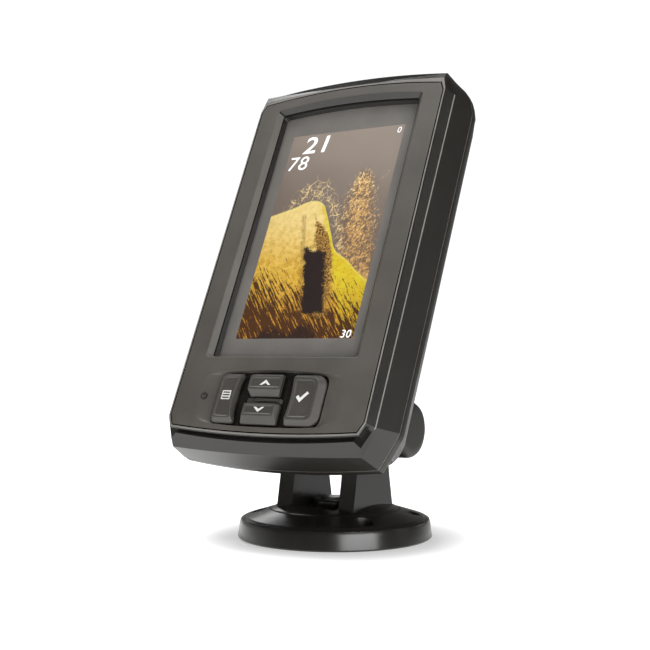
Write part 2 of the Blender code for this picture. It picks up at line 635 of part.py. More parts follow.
def tilt_parts(mats, head):
    """Tilt bolt, the washers on both sides of the lug, and the knob with its threaded insert."""
    head_profile = ((1.6, -22.2), (4.6, -21.4), (6.6, -19.9), (7.2, -18.15), (BOLT_R, -18.15), (BOLT_R, 31.6))
    head_profile += ((BOLT_R - 0.5, 32.1),)
    bolt = add_object("tilt_bolt", *turned_solid(head_profile, 24, "X"), mats["steel"], None, (0, 0, PIVOT_Z))
    square = [(-3.1, -3.1), (3.1, -3.1), (3.1, 3.1), (-3.1, 3.1)]
    neck = loft([[(x, y, z) for y, z in square] for x in (-18.6, -13.5)])
    add_boolean(bolt, add_object("join_bolt_neck", *neck, None, None, (0, 0, PIVOT_Z)), "UNION")

    ring = ((3.4, 9.95), (8.4, 9.95), (8.4, 10.6), (3.4, 10.6))
    mirrored = tuple((r, -x) for r, x in ring)
    pv, pw = pivot_in_head()
    add_object("tilt_washer_right", *turned_ring(ring, 24, "X"), mats["nylon_white"], head, (0, -pw, pv))
    add_object("tilt_washer_left", *turned_ring(mirrored, 24, "X"), mats["nylon_white"], head, (0, -pw, pv))

    outer = ((3.4, 18.2), (9.0, 18.2), (9.0, 19.4), (3.4, 19.4))
    add_object("knob_washer", *turned_ring(outer, 24, "X"), mats["steel"], None, (0, 0, PIVOT_Z))
    insert = ((3.3, 20.0), (5.5, 20.0), (5.5, 33.0), (3.3, 33.0))
    add_object("knob_insert", *turned_ring(insert, 18, "X"), mats["brass"], None, (0, 0, PIVOT_Z))
    body = ((5.8, 33.4), (5.8, 19.8), (9.2, 19.8), (9.8, 20.4), (10.9, 21.2), (KNOB_R, 24.0), (KNOB_R, 33.0))
    body += ((10.7, 34.4), (9.9, 35.5), (8.6, 36.2), (6.5, 36.6))
    add_object("tilt_knob", *turned_solid(body, 36, "X"), mats["knob_rubber"], None, (0, 0, PIVOT_Z))


# ---------------------------------------------------------------- assembly

def materials():
    return {
        "face_satin": make_material("face_satin", (0.115, 0.107, 0.098), 0.42),
        "case_black": make_material("case_black", (0.028, 0.026, 0.024), 0.32),
        "key_plastic": make_material("key_plastic", (0.10, 0.094, 0.088), 0.5),
        "window_clear": make_material("window_clear", (0.16, 0.155, 0.15), 0.06),
        "lcd_glass": make_material("lcd_glass", (0.30, 0.22, 0.10), 0.15),
        "diffuser_white": make_material("diffuser_white", (0.85, 0.85, 0.83), 0.6),
        "acrylic_clear": make_material("acrylic_clear", (0.8, 0.84, 0.86), 0.1),
        "rubber_black": make_material("rubber_black", (0.02, 0.02, 0.02), 0.85),
        "rubber_grey": make_material("rubber_grey", (0.2, 0.2, 0.2), 0.85),
        "board_green": make_material("board_green", (0.03, 0.18, 0.07), 0.45),
        "steel": make_material("steel", (0.55, 0.55, 0.56), 0.32, 1.0),
        "brass": make_material("brass", (0.72, 0.52, 0.22), 0.3, 1.0),
        "ferrite_black": make_material("ferrite_black", (0.03, 0.03, 0.03), 0.6),
        "foil_blue": make_material("foil_blue", (0.03, 0.06, 0.22), 0.4),
        "nylon_white": make_material("nylon_white", (0.75, 0.74, 0.7), 0.5),
        "ribbon_amber": make_material("ribbon_amber", (0.55, 0.27, 0.05), 0.35),
        "socket_black": make_material("socket_black", (0.025, 0.025, 0.026), 0.5),
        "mount_black": make_material("mount_black", (0.022, 0.021, 0.02), 0.3),
        "knob_rubber": make_material("knob_rubber", (0.05, 0.048, 0.046), 0.55),
    }


def build():
    clear_scene()
    mats = materials()
    pivot = add_empty("tilt_axis", (0.0, 0.0, PIVOT_Z))
    tilt = (-math.radians(HEAD_TILT_DEG), 0.0, 0.0)
    head = add_empty("head_frame", (0.0, SCREEN_CENTRE_Y, SCREEN_CENTRE_Z - PIVOT_Z), pivot, tilt)

    front_housing(mats["case_black"], head)
    rear_housing(mats["case_black"], head)
    face_plate(mats["face_satin"], head)
    keypad_parts(mats, head)
    display_parts(mats, head)
    board_parts(mats, head)
    cable_socket("power_socket", SOCKET_U, 2, 2.4, mats, head)
    cable_socket("transducer_socket", -SOCKET_U, 4, 2.4, mats, head)
    case_screws(mats, head)
    mount_parts(mats)
    tilt_parts(mats, head)


build()
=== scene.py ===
"""Looks of the portrait fish finder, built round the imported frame.

Lengths are millimetres until a mesh is made. Head pieces are built in the head's own
frame: u across the screen, w forward of the screen plane, v up along the screen.
"""
import json
import math

import bmesh
import bpy
import numpy as np
from mathutils import Matrix, Vector


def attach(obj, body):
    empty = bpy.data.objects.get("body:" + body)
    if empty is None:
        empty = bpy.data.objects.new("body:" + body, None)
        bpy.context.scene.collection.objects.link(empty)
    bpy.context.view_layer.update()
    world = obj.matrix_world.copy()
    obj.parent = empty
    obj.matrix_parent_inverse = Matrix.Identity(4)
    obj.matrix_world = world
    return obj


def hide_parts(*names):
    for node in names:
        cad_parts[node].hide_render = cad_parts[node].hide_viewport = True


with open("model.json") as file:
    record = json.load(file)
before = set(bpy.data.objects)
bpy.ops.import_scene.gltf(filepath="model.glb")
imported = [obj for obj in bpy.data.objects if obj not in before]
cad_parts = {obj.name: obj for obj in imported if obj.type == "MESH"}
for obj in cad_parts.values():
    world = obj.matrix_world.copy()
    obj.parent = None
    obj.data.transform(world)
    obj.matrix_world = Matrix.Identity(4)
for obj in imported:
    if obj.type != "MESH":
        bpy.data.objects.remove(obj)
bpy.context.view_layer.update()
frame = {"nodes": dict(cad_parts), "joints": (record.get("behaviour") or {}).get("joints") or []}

MM = 0.001
NODES = frame["nodes"]
JOINTS = {joint["name"]: joint for joint in frame["joints"]}

# Depths in the head frame, the same as the CAD's
FACE_W = 6.0
FACE_BACK_W = 4.0
SEAT_W = 3.7
WALL_BACK_W = 1.4
LIP_EDGE_W = 5.5
SHOULDER_W = 2.7
PARTING_W = -10.0
GLASS_FRONT_W = 1.0
GLASS_BACK_W = -0.4
PICTURE_W = 0.8
KEY_TOP_W = 7.4
KEY_FOOT_W = 4.7
KEY_FLANGE_W = (0.2, 1.1)
PAD_DROP = 0.35

# Lit area of the screen, and the lower edge of the window
ACTIVE_HALF_W = 26.9
ACTIVE_HALF_H = 47.5
GLASS_BOTTOM_V = -59.0

PRINT_DEPTH = 0.03


def head_frame():
    """Head axes from the way the keys move, and its origin from the display window's box."""
    depth = Vector(JOINTS["menu_key_press"]["axis"]).normalized()
    right = Vector((1.0, 0.0, 0.0))
    up = right.cross(depth)
    points = [vertex.co for vertex in NODES["display_window"].data.vertices]
    front = min(point.dot(depth) for point in points)
    bottom = min(point.dot(up) for point in points)
    matrix = Matrix((right, depth, up)).transposed().to_4x4()
    matrix.translation = depth * (front + GLASS_FRONT_W * MM) + up * (bottom - GLASS_BOTTOM_V * MM)
    return matrix


HEAD = head_frame()


# ------------------------ shader fields

class Field:
    """A value in a material's node tree; arithmetic on it adds Math nodes."""

    def __init__(self, tree, socket):
        self.tree = tree
        self.socket = socket

    def op(self, operation, *others):
        node = self.tree.nodes.new("ShaderNodeMath")
        node.operation = operation
        for slot, value in zip(node.inputs, (self, *others)):
            if isinstance(value, Field):
                self.tree.links.new(value.socket, slot)
            else:
                slot.default_value = value
        return Field(self.tree, node.outputs[0])

    def __add__(self, other):
        return self.op("ADD", other)

    def __sub__(self, other):
        return self.op("SUBTRACT", other)

    def __mul__(self, other):
        return self.op("MULTIPLY", other)

    def __truediv__(self, other):
        return self.op("DIVIDE", other)

    def __neg__(self):
        return self * -1.0

    def __rsub__(self, number):
        return -self + number

    def __abs__(self):
        return self.op("ABSOLUTE")

    def least(self, other):
        return self.op("MINIMUM", other)

    def step(self, low, high):
        """Smooth 0 to 1 as this goes from low to high."""
        node = self.tree.nodes.new("ShaderNodeMapRange")
        node.interpolation_type = "SMOOTHSTEP"
        self.tree.links.new(self.socket, node.inputs["Value"])
        node.inputs["From Min"].default_value = low
        node.inputs["From Max"].default_value = high
        return Field(self.tree, node.outputs[0])

    def curve(self, points):
        """A smooth curve of this through (x, y) points, level beyond the first and last."""
        low, high = points[0][0], points[-1][0]
        node = self.tree.nodes.new("ShaderNodeFloatCurve")
        scaled = (self - low) / (high - low)
        self.tree.links.new(scaled.socket, node.inputs["Value"])
        curve = node.mapping.curves[0]
        ys = [y for _, y in points]
        base, span = min(ys), max(ys) - min(ys)
        places = [((x - low) / (high - low), (y - base) / span) for x, y in points]
        curve.points[0].location = places[0]
        curve.points[1].location = places[-1]
        for place in places[1:-1]:
            curve.points.new(*place)
        node.mapping.extend = "HORIZONTAL"
        node.mapping.update()
        return Field(self.tree, node.outputs[0]) * span + base


class Look:
    """A Principled material under construction, in object coordinates measured in mm."""

    def __init__(self, name, roughness, **sockets):
        self.material = bpy.data.materials.new(name)
        self.material.use_nodes = True
        self.tree = self.material.node_tree
        self.shader = self.tree.nodes["Principled BSDF"]
        self.set("Roughness", roughness)
        for socket, value in sockets.items():
            self.set(socket.replace("_", " "), value)
        coordinate = self.tree.nodes.new("ShaderNodeTexCoord")
        scale = self.tree.nodes.new("ShaderNodeVectorMath")
        scale.operation = "SCALE"
        scale.inputs["Scale"].default_value = 1.0 / MM
        self.tree.links.new(coordinate.outputs["Object"], scale.inputs[0])
        self.place = scale.outputs[0]
        split = self.tree.nodes.new("ShaderNodeSeparateXYZ")
        self.tree.links.new(self.place, split.inputs[0])
        self.x, self.y, self.z = [Field(self.tree, output) for output in split.outputs]

    def set(self, socket, value):
        self.shader.inputs[socket].default_value = value

    def link(self, field, socket):
        self.tree.links.new(field.socket, self.shader.inputs[socket])

    def turned(self, stretch, turn, shift=0.0):
        """Object coordinates turned about the depth axis, then squeezed along each axis."""
        mapping = self.tree.nodes.new("ShaderNodeMapping")
        mapping.vector_type = "TEXTURE"
        mapping.inputs["Scale"].default_value = tuple(1.0 / amount for amount in stretch)
        mapping.inputs["Rotation"].default_value = (0.0, math.radians(turn), 0.0)
        mapping.inputs["Location"].default_value = (shift, shift, shift)
        self.tree.links.new(self.place, mapping.inputs["Vector"])
        return mapping

    def noise(self, scale, stretch=(1.0, 1.0, 1.0), detail=2.0, rough=0.5, turn=0.0, shift=0.0):
        """Noise with features about 1/scale mm wide, optionally stretched and turned."""
        mapping = self.turned(stretch, turn, shift)
        node = self.tree.nodes.new("ShaderNodeTexNoise")
        node.inputs["Scale"].default_value = scale
        node.inputs["Detail"].default_value = detail
        node.inputs["Roughness"].default_value = rough
        self.tree.links.new(mapping.outputs[0], node.inputs["Vector"])
        return Field(self.tree, node.outputs["Fac"])

    def cracks(self, scale, wander, stretch, turn):
        """Distance to the nearest cell edge; wander (a Field) bends the cells."""
        mapping = self.turned(stretch, turn)
        shift = self.tree.nodes.new("ShaderNodeVectorMath")
        self.tree.links.new(mapping.outputs[0], shift.inputs[0])
        self.tree.links.new(wander.socket, shift.inputs[1])
        node = self.tree.nodes.new("ShaderNodeTexVoronoi")
        node.feature = "DISTANCE_TO_EDGE"
        node.inputs["Scale"].default_value = scale
        self.tree.links.new(shift.outputs[0], node.inputs["Vector"])
        return Field(self.tree, node.outputs["Distance"])

    def mix(self, share, first, second):
        node = self.tree.nodes.new("ShaderNodeMix")
        node.data_type = "RGBA"
        self.tree.links.new(share.socket, node.inputs["Factor"])
        for slot, value in ((node.inputs[6], first), (node.inputs[7], second)):
            if isinstance(value, Field):
                self.tree.links.new(value.socket, slot)
            else:
                slot.default_value = (*value, 1.0)
        return Field(self.tree, node.outputs[2])

    def bump(self, height, distance_mm):
        node = self.tree.nodes.new("ShaderNodeBump")
        node.inputs["Distance"].default_value = distance_mm * MM
        self.tree.links.new(height.socket, node.inputs["Height"])
        self.tree.links.new(node.outputs[0], self.shader.inputs["Normal"])


def plastic(name, rgb, roughness, grain=3.0, grain_depth=0.01, spread=0.12, **sockets):
    """Moulded plastic: fine spark-eroded grain, cloudy gloss and a little tone drift."""
    look = Look(name, roughness, **sockets)
    cloud = look.noise(0.06, detail=3.0)
    fine = look.noise(grain, detail=3.0, rough=0.6)
    darker = tuple(c * (1.0 - spread) for c in rgb)
    lighter = tuple(c * (1.0 + spread) for c in rgb)
    tone = (cloud * 0.75 + fine * 0.25).step(0.3, 0.7)
    look.link(look.mix(tone, darker, lighter), "Base Color")
    smear = look.noise(0.22, (1.0, 1.0, 0.25), detail=4.0, shift=7.0)
    look.link((smear - 0.5) * (roughness * 0.2) + (fine - 0.5) * 0.06 + roughness, "Roughness")
    look.bump(fine, grain_depth)
    return look.material


def rubber(name, rgb):
    """Dull rubber with a little pale dust."""
    look = Look(name, 0.8, Sheen_Weight=0.15, Sheen_Roughness=0.5)
    fine = look.noise(4.0, detail=4.0, rough=0.7)
    dust = look.noise(0.35, detail=5.0, rough=0.65).step(0.45, 0.8)
    look.link(look.mix(dust, rgb, tuple(c * 1.6 + 0.004 for c in rgb)), "Base Color")
    look.link((fine - 0.5) * 0.2 + 0.8, "Roughness")
    look.bump(fine, 0.02)
    return look.material


def metal(name, rgb):
    """Brushed metal with fine lines and faint stains."""
    look = Look(name, 0.3, Metallic=1.0)
    lines = look.noise(1.5, (1.0, 1.0, 12.0), detail=4.0, rough=0.65)
    stain = look.noise(0.4, detail=4.0).step(0.4, 0.75)
    look.link(look.mix(stain, rgb, tuple(c * 0.82 for c in rgb)), "Base Color")
    look.link(lines * 0.25 + 0.2, "Roughness")
    look.bump(lines, 0.008)
    return look.material


def board(name):
    """Solder-masked circuit board with buried tracks and tinned pads."""
    look = Look(name, 0.4, Coat_Weight=0.4, Coat_Roughness=0.2)
    tracks = look.noise(0.5, (6.0, 1.0, 0.6), detail=1.0)
    edges = tracks.op("MODULO", 0.08).step(0.02, 0.035)
    pads = look.noise(1.6, detail=0.0, shift=3.0).step(0.7, 0.73)
    mask = look.mix(edges, (0.012, 0.10, 0.035), (0.02, 0.17, 0.06))
    look.link(look.mix(pads, mask, (0.6, 0.58, 0.52)), "Base Color")
    look.link(pads * 0.8, "Metallic")
    look.bump(edges + pads, 0.03)
    return look.material


def clear_plastic(name):
    """Clear moulded plastic with a faintly cloudy surface."""
    look = Look(name, 0.08, IOR=1.49, Transmission_Weight=0.9)
    dots = look.noise(1.2, detail=1.0)
    look.link(look.mix(dots, (0.80, 0.84, 0.86), (0.88, 0.9, 0.92)), "Base Color")
    look.link(dots.step(0.5, 0.7) * 0.3 + 0.05, "Roughness")
    return look.material


# The echo picture's colours as linear RGB; pairs are the two ends of a mix
WATER = ((0.115, 0.090, 0.075), (0.205, 0.172, 0.145))
WATER_FLECK = (0.30, 0.20, 0.12)
WEED_SHADE = (0.10, 0.055, 0.032)
WEED = ((0.44, 0.255, 0.085), (0.68, 0.52, 0.26))
STALK = (0.46, 0.31, 0.15)
TWIG = (0.58, 0.43, 0.20)
PALE_BED = ((0.55, 0.425, 0.180), (0.49, 0.370, 0.130))
AMBER_BED = ((0.47, 0.300, 0.045), (0.37, 0.210, 0.026))
DEEP_BED = (0.40, 0.185, 0.020)
LIME_BED = ((0.46, 0.375, 0.022), (0.42, 0.275, 0.016))
DEEP_LIME = (0.34, 0.175, 0.015)
BED_FLECK = (0.20, 0.12, 0.03)
ROOT = (0.026, 0.010, 0.007)
ROOT_FLECK = (0.060, 0.020, 0.010)
SKIRT = ((0.050, 0.020, 0.012), (0.33, 0.19, 0.04))
SEAM = (0.07, 0.03, 0.015)
SHADOW = ((0.012, 0.009, 0.009), (0.06, 0.028, 0.018))
POCKET = (0.022, 0.012, 0.010)
CREST = (0.56, 0.50, 0.14)

# Weed's middle and half width up the picture, and the bottom's edge across it, in mm
WEED_MIDDLE = ((-22.0, 24.0), (-8.0, 18.5), (8.0, 15.5), (20.0, 14.0), (34.0, 14.0))
WEED_HALF = ((-22.0, 11.0), (-8.0, 10.5), (8.0, 9.5), (20.0, 7.0), (26.0, 4.4), (34.0, 2.4))
BOTTOM_EDGE = ((-27.0, 8.6), (-17.0, 11.6), (-7.0, 14.6), (-2.6, 12.8), (0.0, 8.8), (5.2, -1.8),
               (9.1, -9.2), (15.7, -13.8), (20.5, -18.2), (27.0, -23.0))


def open_water(look, fine, medium):
    """Water, paler towards the top right, with weed, loose stalks and bent twigs in it."""
    u, v, sway = look.x, look.z, medium - 0.5
    drift = look.noise(0.05, detail=2.0, shift=21.0)
    fibre = look.noise(0.9, (1.5, 1.0, 0.8), detail=6.0, rough=0.9, turn=24.0, shift=41.0)
    haze = ((v - 2.0) / 60.0 + u * 0.006 + (drift - 0.5) * 0.3).step(-0.1, 0.9)
    water = look.mix(fine.step(0.60, 0.75) * 0.16, look.mix(haze, *WATER), WATER_FLECK)

    # Standing weed at the right: pale specks that thin out towards its ragged edge
    ragged = abs(u - v.curve(WEED_MIDDLE)) / v.curve(WEED_HALF) + sway * 2.0
    thick = (1.15 - ragged).step(0.0, 1.0) * (27.0 - v).step(-3.0, 4.0)
    picture = look.mix(thick * 0.55, water, WEED_SHADE)
    speck = (fibre + thick * 0.08 + sway * 0.35).step(0.555, 0.61)
    weed = look.mix((fibre + v * 0.002).step(0.55, 0.66), *WEED)
    picture = look.mix(speck * thick.step(0.05, 0.25), picture, weed)

    # Loose stalks beyond the weed
    far = abs(u - 22.5 - sway * 9.0).step(2.6, 0.3) * v.step(-14.0, -2.0)
    far = far * (36.0 - v).step(0.0, 4.0)
    loose = (fibre + sway * 0.5).step(0.60, 0.66) * far
    picture = look.mix(loose * 0.8, picture, STALK)

    # Twigs along an arch over the mound
    wander = medium * 3.0
    arch = ((u + 8.0) / 11.0).op("POWER", 2.0) * -9.5 + 19.5
    off_arch = abs(v - arch)
    lines = look.cracks(0.20, wander, (1.0, 1.0, 1.0), 20.0).step(0.045, 0.012)
    finer = look.cracks(0.42, wander, (1.5, 1.0, 0.8), -35.0).step(0.05, 0.015)
    broken = (fine * 0.5 + medium * 0.8).step(0.56, 0.68)
    twig = (lines * 0.9 + finer * off_arch.step(6.0, 1.0) * 0.8) * off_arch.step(8.5, 2.0) * broken
    return look.mix(twig.least(1.0), picture, TWIG)


def bottom_echo(look, fine, medium, edge):
    """The bottom under its edge: its colours, the weed's roots, and the stump's shadow."""
    u, v, down = look.x, look.z, -look.z
    sway, jitter = medium - 0.5, fine - 0.5
    grain = look.noise(1.35, detail=2.0, rough=0.7, shift=31.0)
    blades = look.noise(0.50, (2.6, 1.0, 0.22), detail=3.0, rough=0.65, turn=-38.0, shift=5.0)

    # From pale khaki to amber, brighter right of the stump
    pale = look.mix(medium.step(0.3, 0.7), *PALE_BED)
    amber = look.mix(medium.step(0.35, 0.65), *AMBER_BED)
    body = look.mix((down + medium * 14.0 - u * 0.2).step(-2.0, 30.0), pale, amber)
    body = look.mix((down + medium * 12.0).step(24.0, 46.0) * 0.8, body, DEEP_BED)
    lime = look.mix(medium.step(0.35, 0.7), *LIME_BED)
    lime = look.mix((down + medium * 14.0).step(24.0, 50.0) * 0.75, lime, DEEP_LIME)
    body = look.mix((u + v * 0.40 + sway * 4.0).step(0.4, 4.0), body, lime)
    body = look.mix(fine.step(0.56, 0.66) * down.step(-4.0, 30.0) * 0.4, body, BED_FLECK)

    # Weed roots low in the bottom: dark slanting blades, dense towards the foot
    low = (down - u * 0.25 + sway * 16.0).step(8.0, 44.0)
    stalk = (blades + jitter * 0.3 + low * 0.30).step(0.68, 0.73)
    body = look.mix(stalk * 0.94, body, ROOT)
    body = look.mix((grain + low * 0.15).step(0.66, 0.72) * 0.8, body, ROOT_FLECK)

    # Brown skirt on both sides of the stump's shadow, and a dark seam down its left
    ragged = jitter * 3.4 + sway * 4.5
    left_side = u + v * 0.235 + 7.9
    skirt = (edge - v - 3.0).least(u + v * 0.235 + 3.2)
    skirt = skirt.least(13.8 - left_side).least(v + 38.5)
    skirt = skirt.least(down + 2.5 - u * 0.9) + ragged * 1.3
    kept = skirt.step(-0.5, 1.2) * (14.0 - u + ragged).step(0.0, 5.0)
    body = look.mix(kept, body, look.mix(grain.step(0.40, 0.62), *SKIRT))
    seam = abs(left_side + 0.6 + sway * 2.4).step(1.5, 0.3) * (9.0 - v).step(0.0, 2.0)
    body = look.mix(seam * fine.step(0.46, 0.56) * 0.8, body, SEAM)

    # The shadow itself, and two dark pockets along the foot
    inside = left_side.least(10.6 - left_side + jitter * 5.0) + ragged
    top = down - 8.6 - u * 0.3 + ragged * 1.4
    shadow = inside.least(top).least(v + 37.2 + ragged)
    body = look.mix(shadow.step(-0.3, 0.9), body, look.mix(fine.step(0.5, 0.72), *SHADOW))
    pockets = []
    for depth, middle, half in ((43.0, -10.5, 5.5), (41.0, 3.5, 4.0)):
        bow = ((u - middle) / half).op("POWER", 2.0) * 2.0
        pockets.append((down - depth + ragged * 3.2 - bow).step(0.0, 1.2))
    return look.mix(pockets[0].op("MAXIMUM", pockets[1]) * 0.95, body, POCKET)


def sonar_picture(name):
    """Down-imaging echo picture: open water over a bright bottom with a stump and weed."""
    look = Look(name, 0.25, Coat_Weight=0.8, Coat_Roughness=0.04)
    fine = look.noise(2.6, detail=4.0, rough=0.75)
    medium = look.noise(0.55, detail=4.0, rough=0.65, shift=11.0)
    edge = look.x.curve(BOTTOM_EDGE)
    depth = edge - look.z + (fine - 0.5) * 1.8
    ground = depth.step(0.0, 0.8)
    above, below = open_water(look, fine, medium), bottom_echo(look, fine, medium, edge)
    picture = look.mix(ground, above, below)
    crest = abs(depth).step(1.8, 0.2) * ground
    picture = look.mix(crest * 0.45, picture, CREST)
    look.link(picture, "Base Color")
    look.link(picture, "Emission Color")
    look.set("Emission Strength", 0.60)
    look.link((fine - 0.5) * 0.08 + 0.25, "Roughness")
    return look.material


# Moulded plastics: colour, roughness, and how fine, deep and uneven in tone their grain is
PLASTICS = {
    "face_satin": ((0.082, 0.075, 0.066), 0.42, 2.6, 0.012),
    "case_black": ((0.0135, 0.0120, 0.0100), 0.25, 2.2, 0.003),
    "key_plastic": ((0.056, 0.051, 0.045), 0.42, 2.8, 0.010),
    "lcd_glass": ((0.10, 0.08, 0.05), 0.2, 2.0, 0.002),
    "diffuser_white": ((0.85, 0.85, 0.83), 0.6, 3.0, 0.01, 0.03),
    "ferrite_black": ((0.03, 0.03, 0.03), 0.6, 5.0, 0.03),
    "foil_blue": ((0.03, 0.06, 0.22), 0.35, 2.0, 0.004),
    "nylon_white": ((0.72, 0.71, 0.67), 0.5, 2.0, 0.01, 0.04),
    "ribbon_amber": ((0.55, 0.27, 0.05), 0.3, 1.5, 0.004),
    "socket_black": ((0.018, 0.018, 0.019), 0.42, 3.0, 0.012),
    "mount_black": ((0.012, 0.0112, 0.010), 0.23, 1.2, 0.003),
    "knob_rubber": ((0.011, 0.0102, 0.0092), 0.40, 3.0, 0.006),
    # Only in the visual model
    # Painted highlight: a lighter colour for some of the case's rounded edges, standing in for the
    # light on them
    "painted_edge_highlight": ((0.20, 0.19, 0.175), 0.30, 2.0, 0.003),
    "pale_print": ((0.74, 0.73, 0.70), 0.5, 4.0, 0.008, 0.05),
    "grey_print": ((0.028, 0.027, 0.025), 0.5, 4.0, 0.008, 0.05),
}


def looks():
    """Materials by name: one for each slot, and the visual model's own."""
    made = {name: plastic(name, *values) for name, values in PLASTICS.items()}
    made["window_clear"] = plastic("window_clear", (0.165, 0.156, 0.144), 0.35, 1.2, 0.001,
                                   Coat_Weight=1.0, Coat_Roughness=0.06)
    for make, name, *rgb in ((rubber, "rubber_black", (0.012, 0.012, 0.012)),
                             (rubber, "rubber_grey", (0.16, 0.16, 0.16)),
                             (metal, "steel", (0.56, 0.56, 0.57)),
                             (metal, "brass", (0.72, 0.52, 0.22)),
                             (board, "board_green"), (clear_plastic, "acrylic_clear")):
        made[name] = make(name, *rgb)
    made["lit_digit"] = plastic("lit_digit", (0.88, 0.88, 0.88), 0.3, 4.0, 0.002, 0.03,
                                Emission_Color=(1.0, 1.0, 1.0, 1.0), Emission_Strength=0.35)
    made["sonar_picture"] = sonar_picture("sonar_picture")
    return made


# ------------------------ outlines

# Half outlines: top centre v, top corner start, control, end, bottom corner start, control,
# end, bottom centre v. The same as the CAD's, but for the step under the lip, whose bottom
# arc ends higher (its last number) than its corner.
OUTLINES = {
    "face": (65.15, (41.9, 61.7), (42.7, 59.9), (43.5, 58.1),
             (43.3, -82.0), (42.3, -84.0), (41.3, -86.0), -87.9),
    "lip": (66.0, (42.7, 63.6), (43.5, 61.1), (44.25, 58.6),
            (44.1, -82.3), (43.1, -84.5), (42.1, -86.7), -88.8),
    "lip_edge": (66.8, (43.1, 66.2), (43.9, 62.4), (44.6, 58.7),
                 (44.4, -82.4), (43.4, -84.8), (42.3, -87.2), -89.3),
    "step": (71.4, (41.9, 68.5), (44.7, 62.8), (47.4, 57.1),
             (46.5, -82.7), (44.5, -86.7), (42.5, -90.6), -90.9, -88.4),
    "shoulder": (71.4, (41.9, 68.5), (44.7, 62.8), (47.4, 57.1),
                 (46.5, -82.7), (44.4, -88.0), (42.3, -93.2), -94.6),
    "rim": (73.3, (40.6, 71.0), (47.0, 67.8), (49.8, 56.0),
            (49.1, -79.8), (46.9, -87.1), (43.8, -93.9), -96.6),
}
TOP_STEPS = 20
CORNER_STEPS = 12
BOTTOM_STEPS = 16
RECT_STEPS = 6
WINDOW_STEPS = 7
WINDOW_TOP_STEPS = 12


def bend(p0, p1, p2, s):
    """Point on a quadratic curve."""
    p0, p1, p2 = np.array(p0), np.array(p1), np.array(p2)
    return (1 - s) ** 2 * p0 + 2 * s * (1 - s) * p1 + s * s * p2


def outline(name, inset=0.0):
    """Whole case outline as (u, v) rows, clockwise from the top centre."""
    top, t1, tc, t2, b2, bc, b1, bottom, *arc = OUTLINES[name]
    arc_end = arc[0] if arc else b1[1]
    half = []
    for i in range(TOP_STEPS):
        half.append((t1[0] * i / TOP_STEPS, top - (top - t1[1]) * (i / TOP_STEPS) ** 2))
    half += [tuple(bend(t1, tc, t2, i / CORNER_STEPS)) for i in range(CORNER_STEPS)]
    half += [t2, tuple(bend(t2, ((t2[0] + b2[0]) / 2, 0.0), b2, 0.5))]
    half += [tuple(bend(b2, bc, b1, i / CORNER_STEPS)) for i in range(CORNER_STEPS)]
    for i in range(BOTTOM_STEPS):
        s = 1 - i / BOTTOM_STEPS
        half.append((b1[0] * s, bottom - (bottom - (arc_end if i else b1[1])) * s * s))
    half.append((0.0, bottom))
    points = np.array(half + [(-u, v) for u, v in reversed(half[1:-1])])
    return inward(points, inset) if inset else points


def inward(points, distance):
    """A closed outline moved inward (negative: outward), mitred."""
    following = np.roll(points, -1, 0)
    ahead = following - points
    area = np.sum(points[:, 0] * following[:, 1] - following[:, 0] * points[:, 1])
    sign = 1.0 if area > 0 else -1.0
    normal = np.stack((-ahead[:, 1], ahead[:, 0]), 1) * sign
    normal /= np.linalg.norm(normal, axis=1)[:, None]
    before = np.roll(normal, 1, 0)
    middle = normal + before
    middle /= np.linalg.norm(middle, axis=1)[:, None]
    reach = distance / np.maximum(0.5, np.sum(middle * before, 1))
    return points + middle * reach[:, None]


def soft_rect(u0, u1, v0, v1, radii, bows=(0.0, 0.0)):
    """Rectangle with radii (lower right, upper right, upper left, lower left); bows bend its
    right and left sides inward."""
    corners = []
    spots = ((u1, v0, -1, 1, -90), (u1, v1, -1, -1, 0), (u0, v1, 1, -1, 90), (u0, v0, 1, 1, 180))
    for (u, v, su, sv, start), radius in zip(spots, radii):
        corner = []
        for i in range(RECT_STEPS + 1):
            angle = math.radians(start + 90.0 * i / RECT_STEPS)
            corner.append((u + su * radius + radius * math.cos(angle),
                           v + sv * radius + radius * math.sin(angle)))
        corners.append(corner)
    points = []
    for k, bow in enumerate((-bows[0], 0.0, bows[1], 0.0)):
        points += corners[k]
        (ua, va), (ub, vb) = corners[k][-1], corners[(k + 1) % 4][0]
        for i in range(1, RECT_STEPS):
            s = i / RECT_STEPS
            points.append((ua + (ub - ua) * s + 4.0 * s * (1 - s) * bow, va + (vb - va) * s))
    return np.array(points)


def window_ring(w, half_w, top_centre, top_edge, bottom, radius=1.6):
    """Display opening at depth w: straight sides, gently arched top, rounded corners."""
    right = []
    centre_u = half_w - radius
    for centre_v, start in ((bottom + radius, -90), (top_edge - radius, 0)):
        for i in range(WINDOW_STEPS + 1):
            angle = math.radians(start + 90.0 * i / WINDOW_STEPS)
            right.append((centre_u + radius * math.cos(angle), centre_v + radius * math.sin(angle)))
    arch = []
    for i in range(1, 2 * WINDOW_TOP_STEPS):
        s = 1 - i / WINDOW_TOP_STEPS
        arch.append((centre_u * s, top_centre - (top_centre - top_edge) * s * s))
    return at(np.array(right + arch + [(-u, v) for u, v in reversed(right)]), w)


def at(points, w):
    """(u, v) rows at depth w, a number or one per row, as head-frame coordinates."""
    depth = np.zeros(len(points)) + w
    return np.stack((points[:, 0], -depth, points[:, 1]), 1)


def case_ring(name, w, inset=0.0):
    return at(outline(name, inset), w)


# ------------------------ mesh making

def unit(rows):
    return rows / np.maximum(np.linalg.norm(rows, axis=1), 1e-9)[:, None]


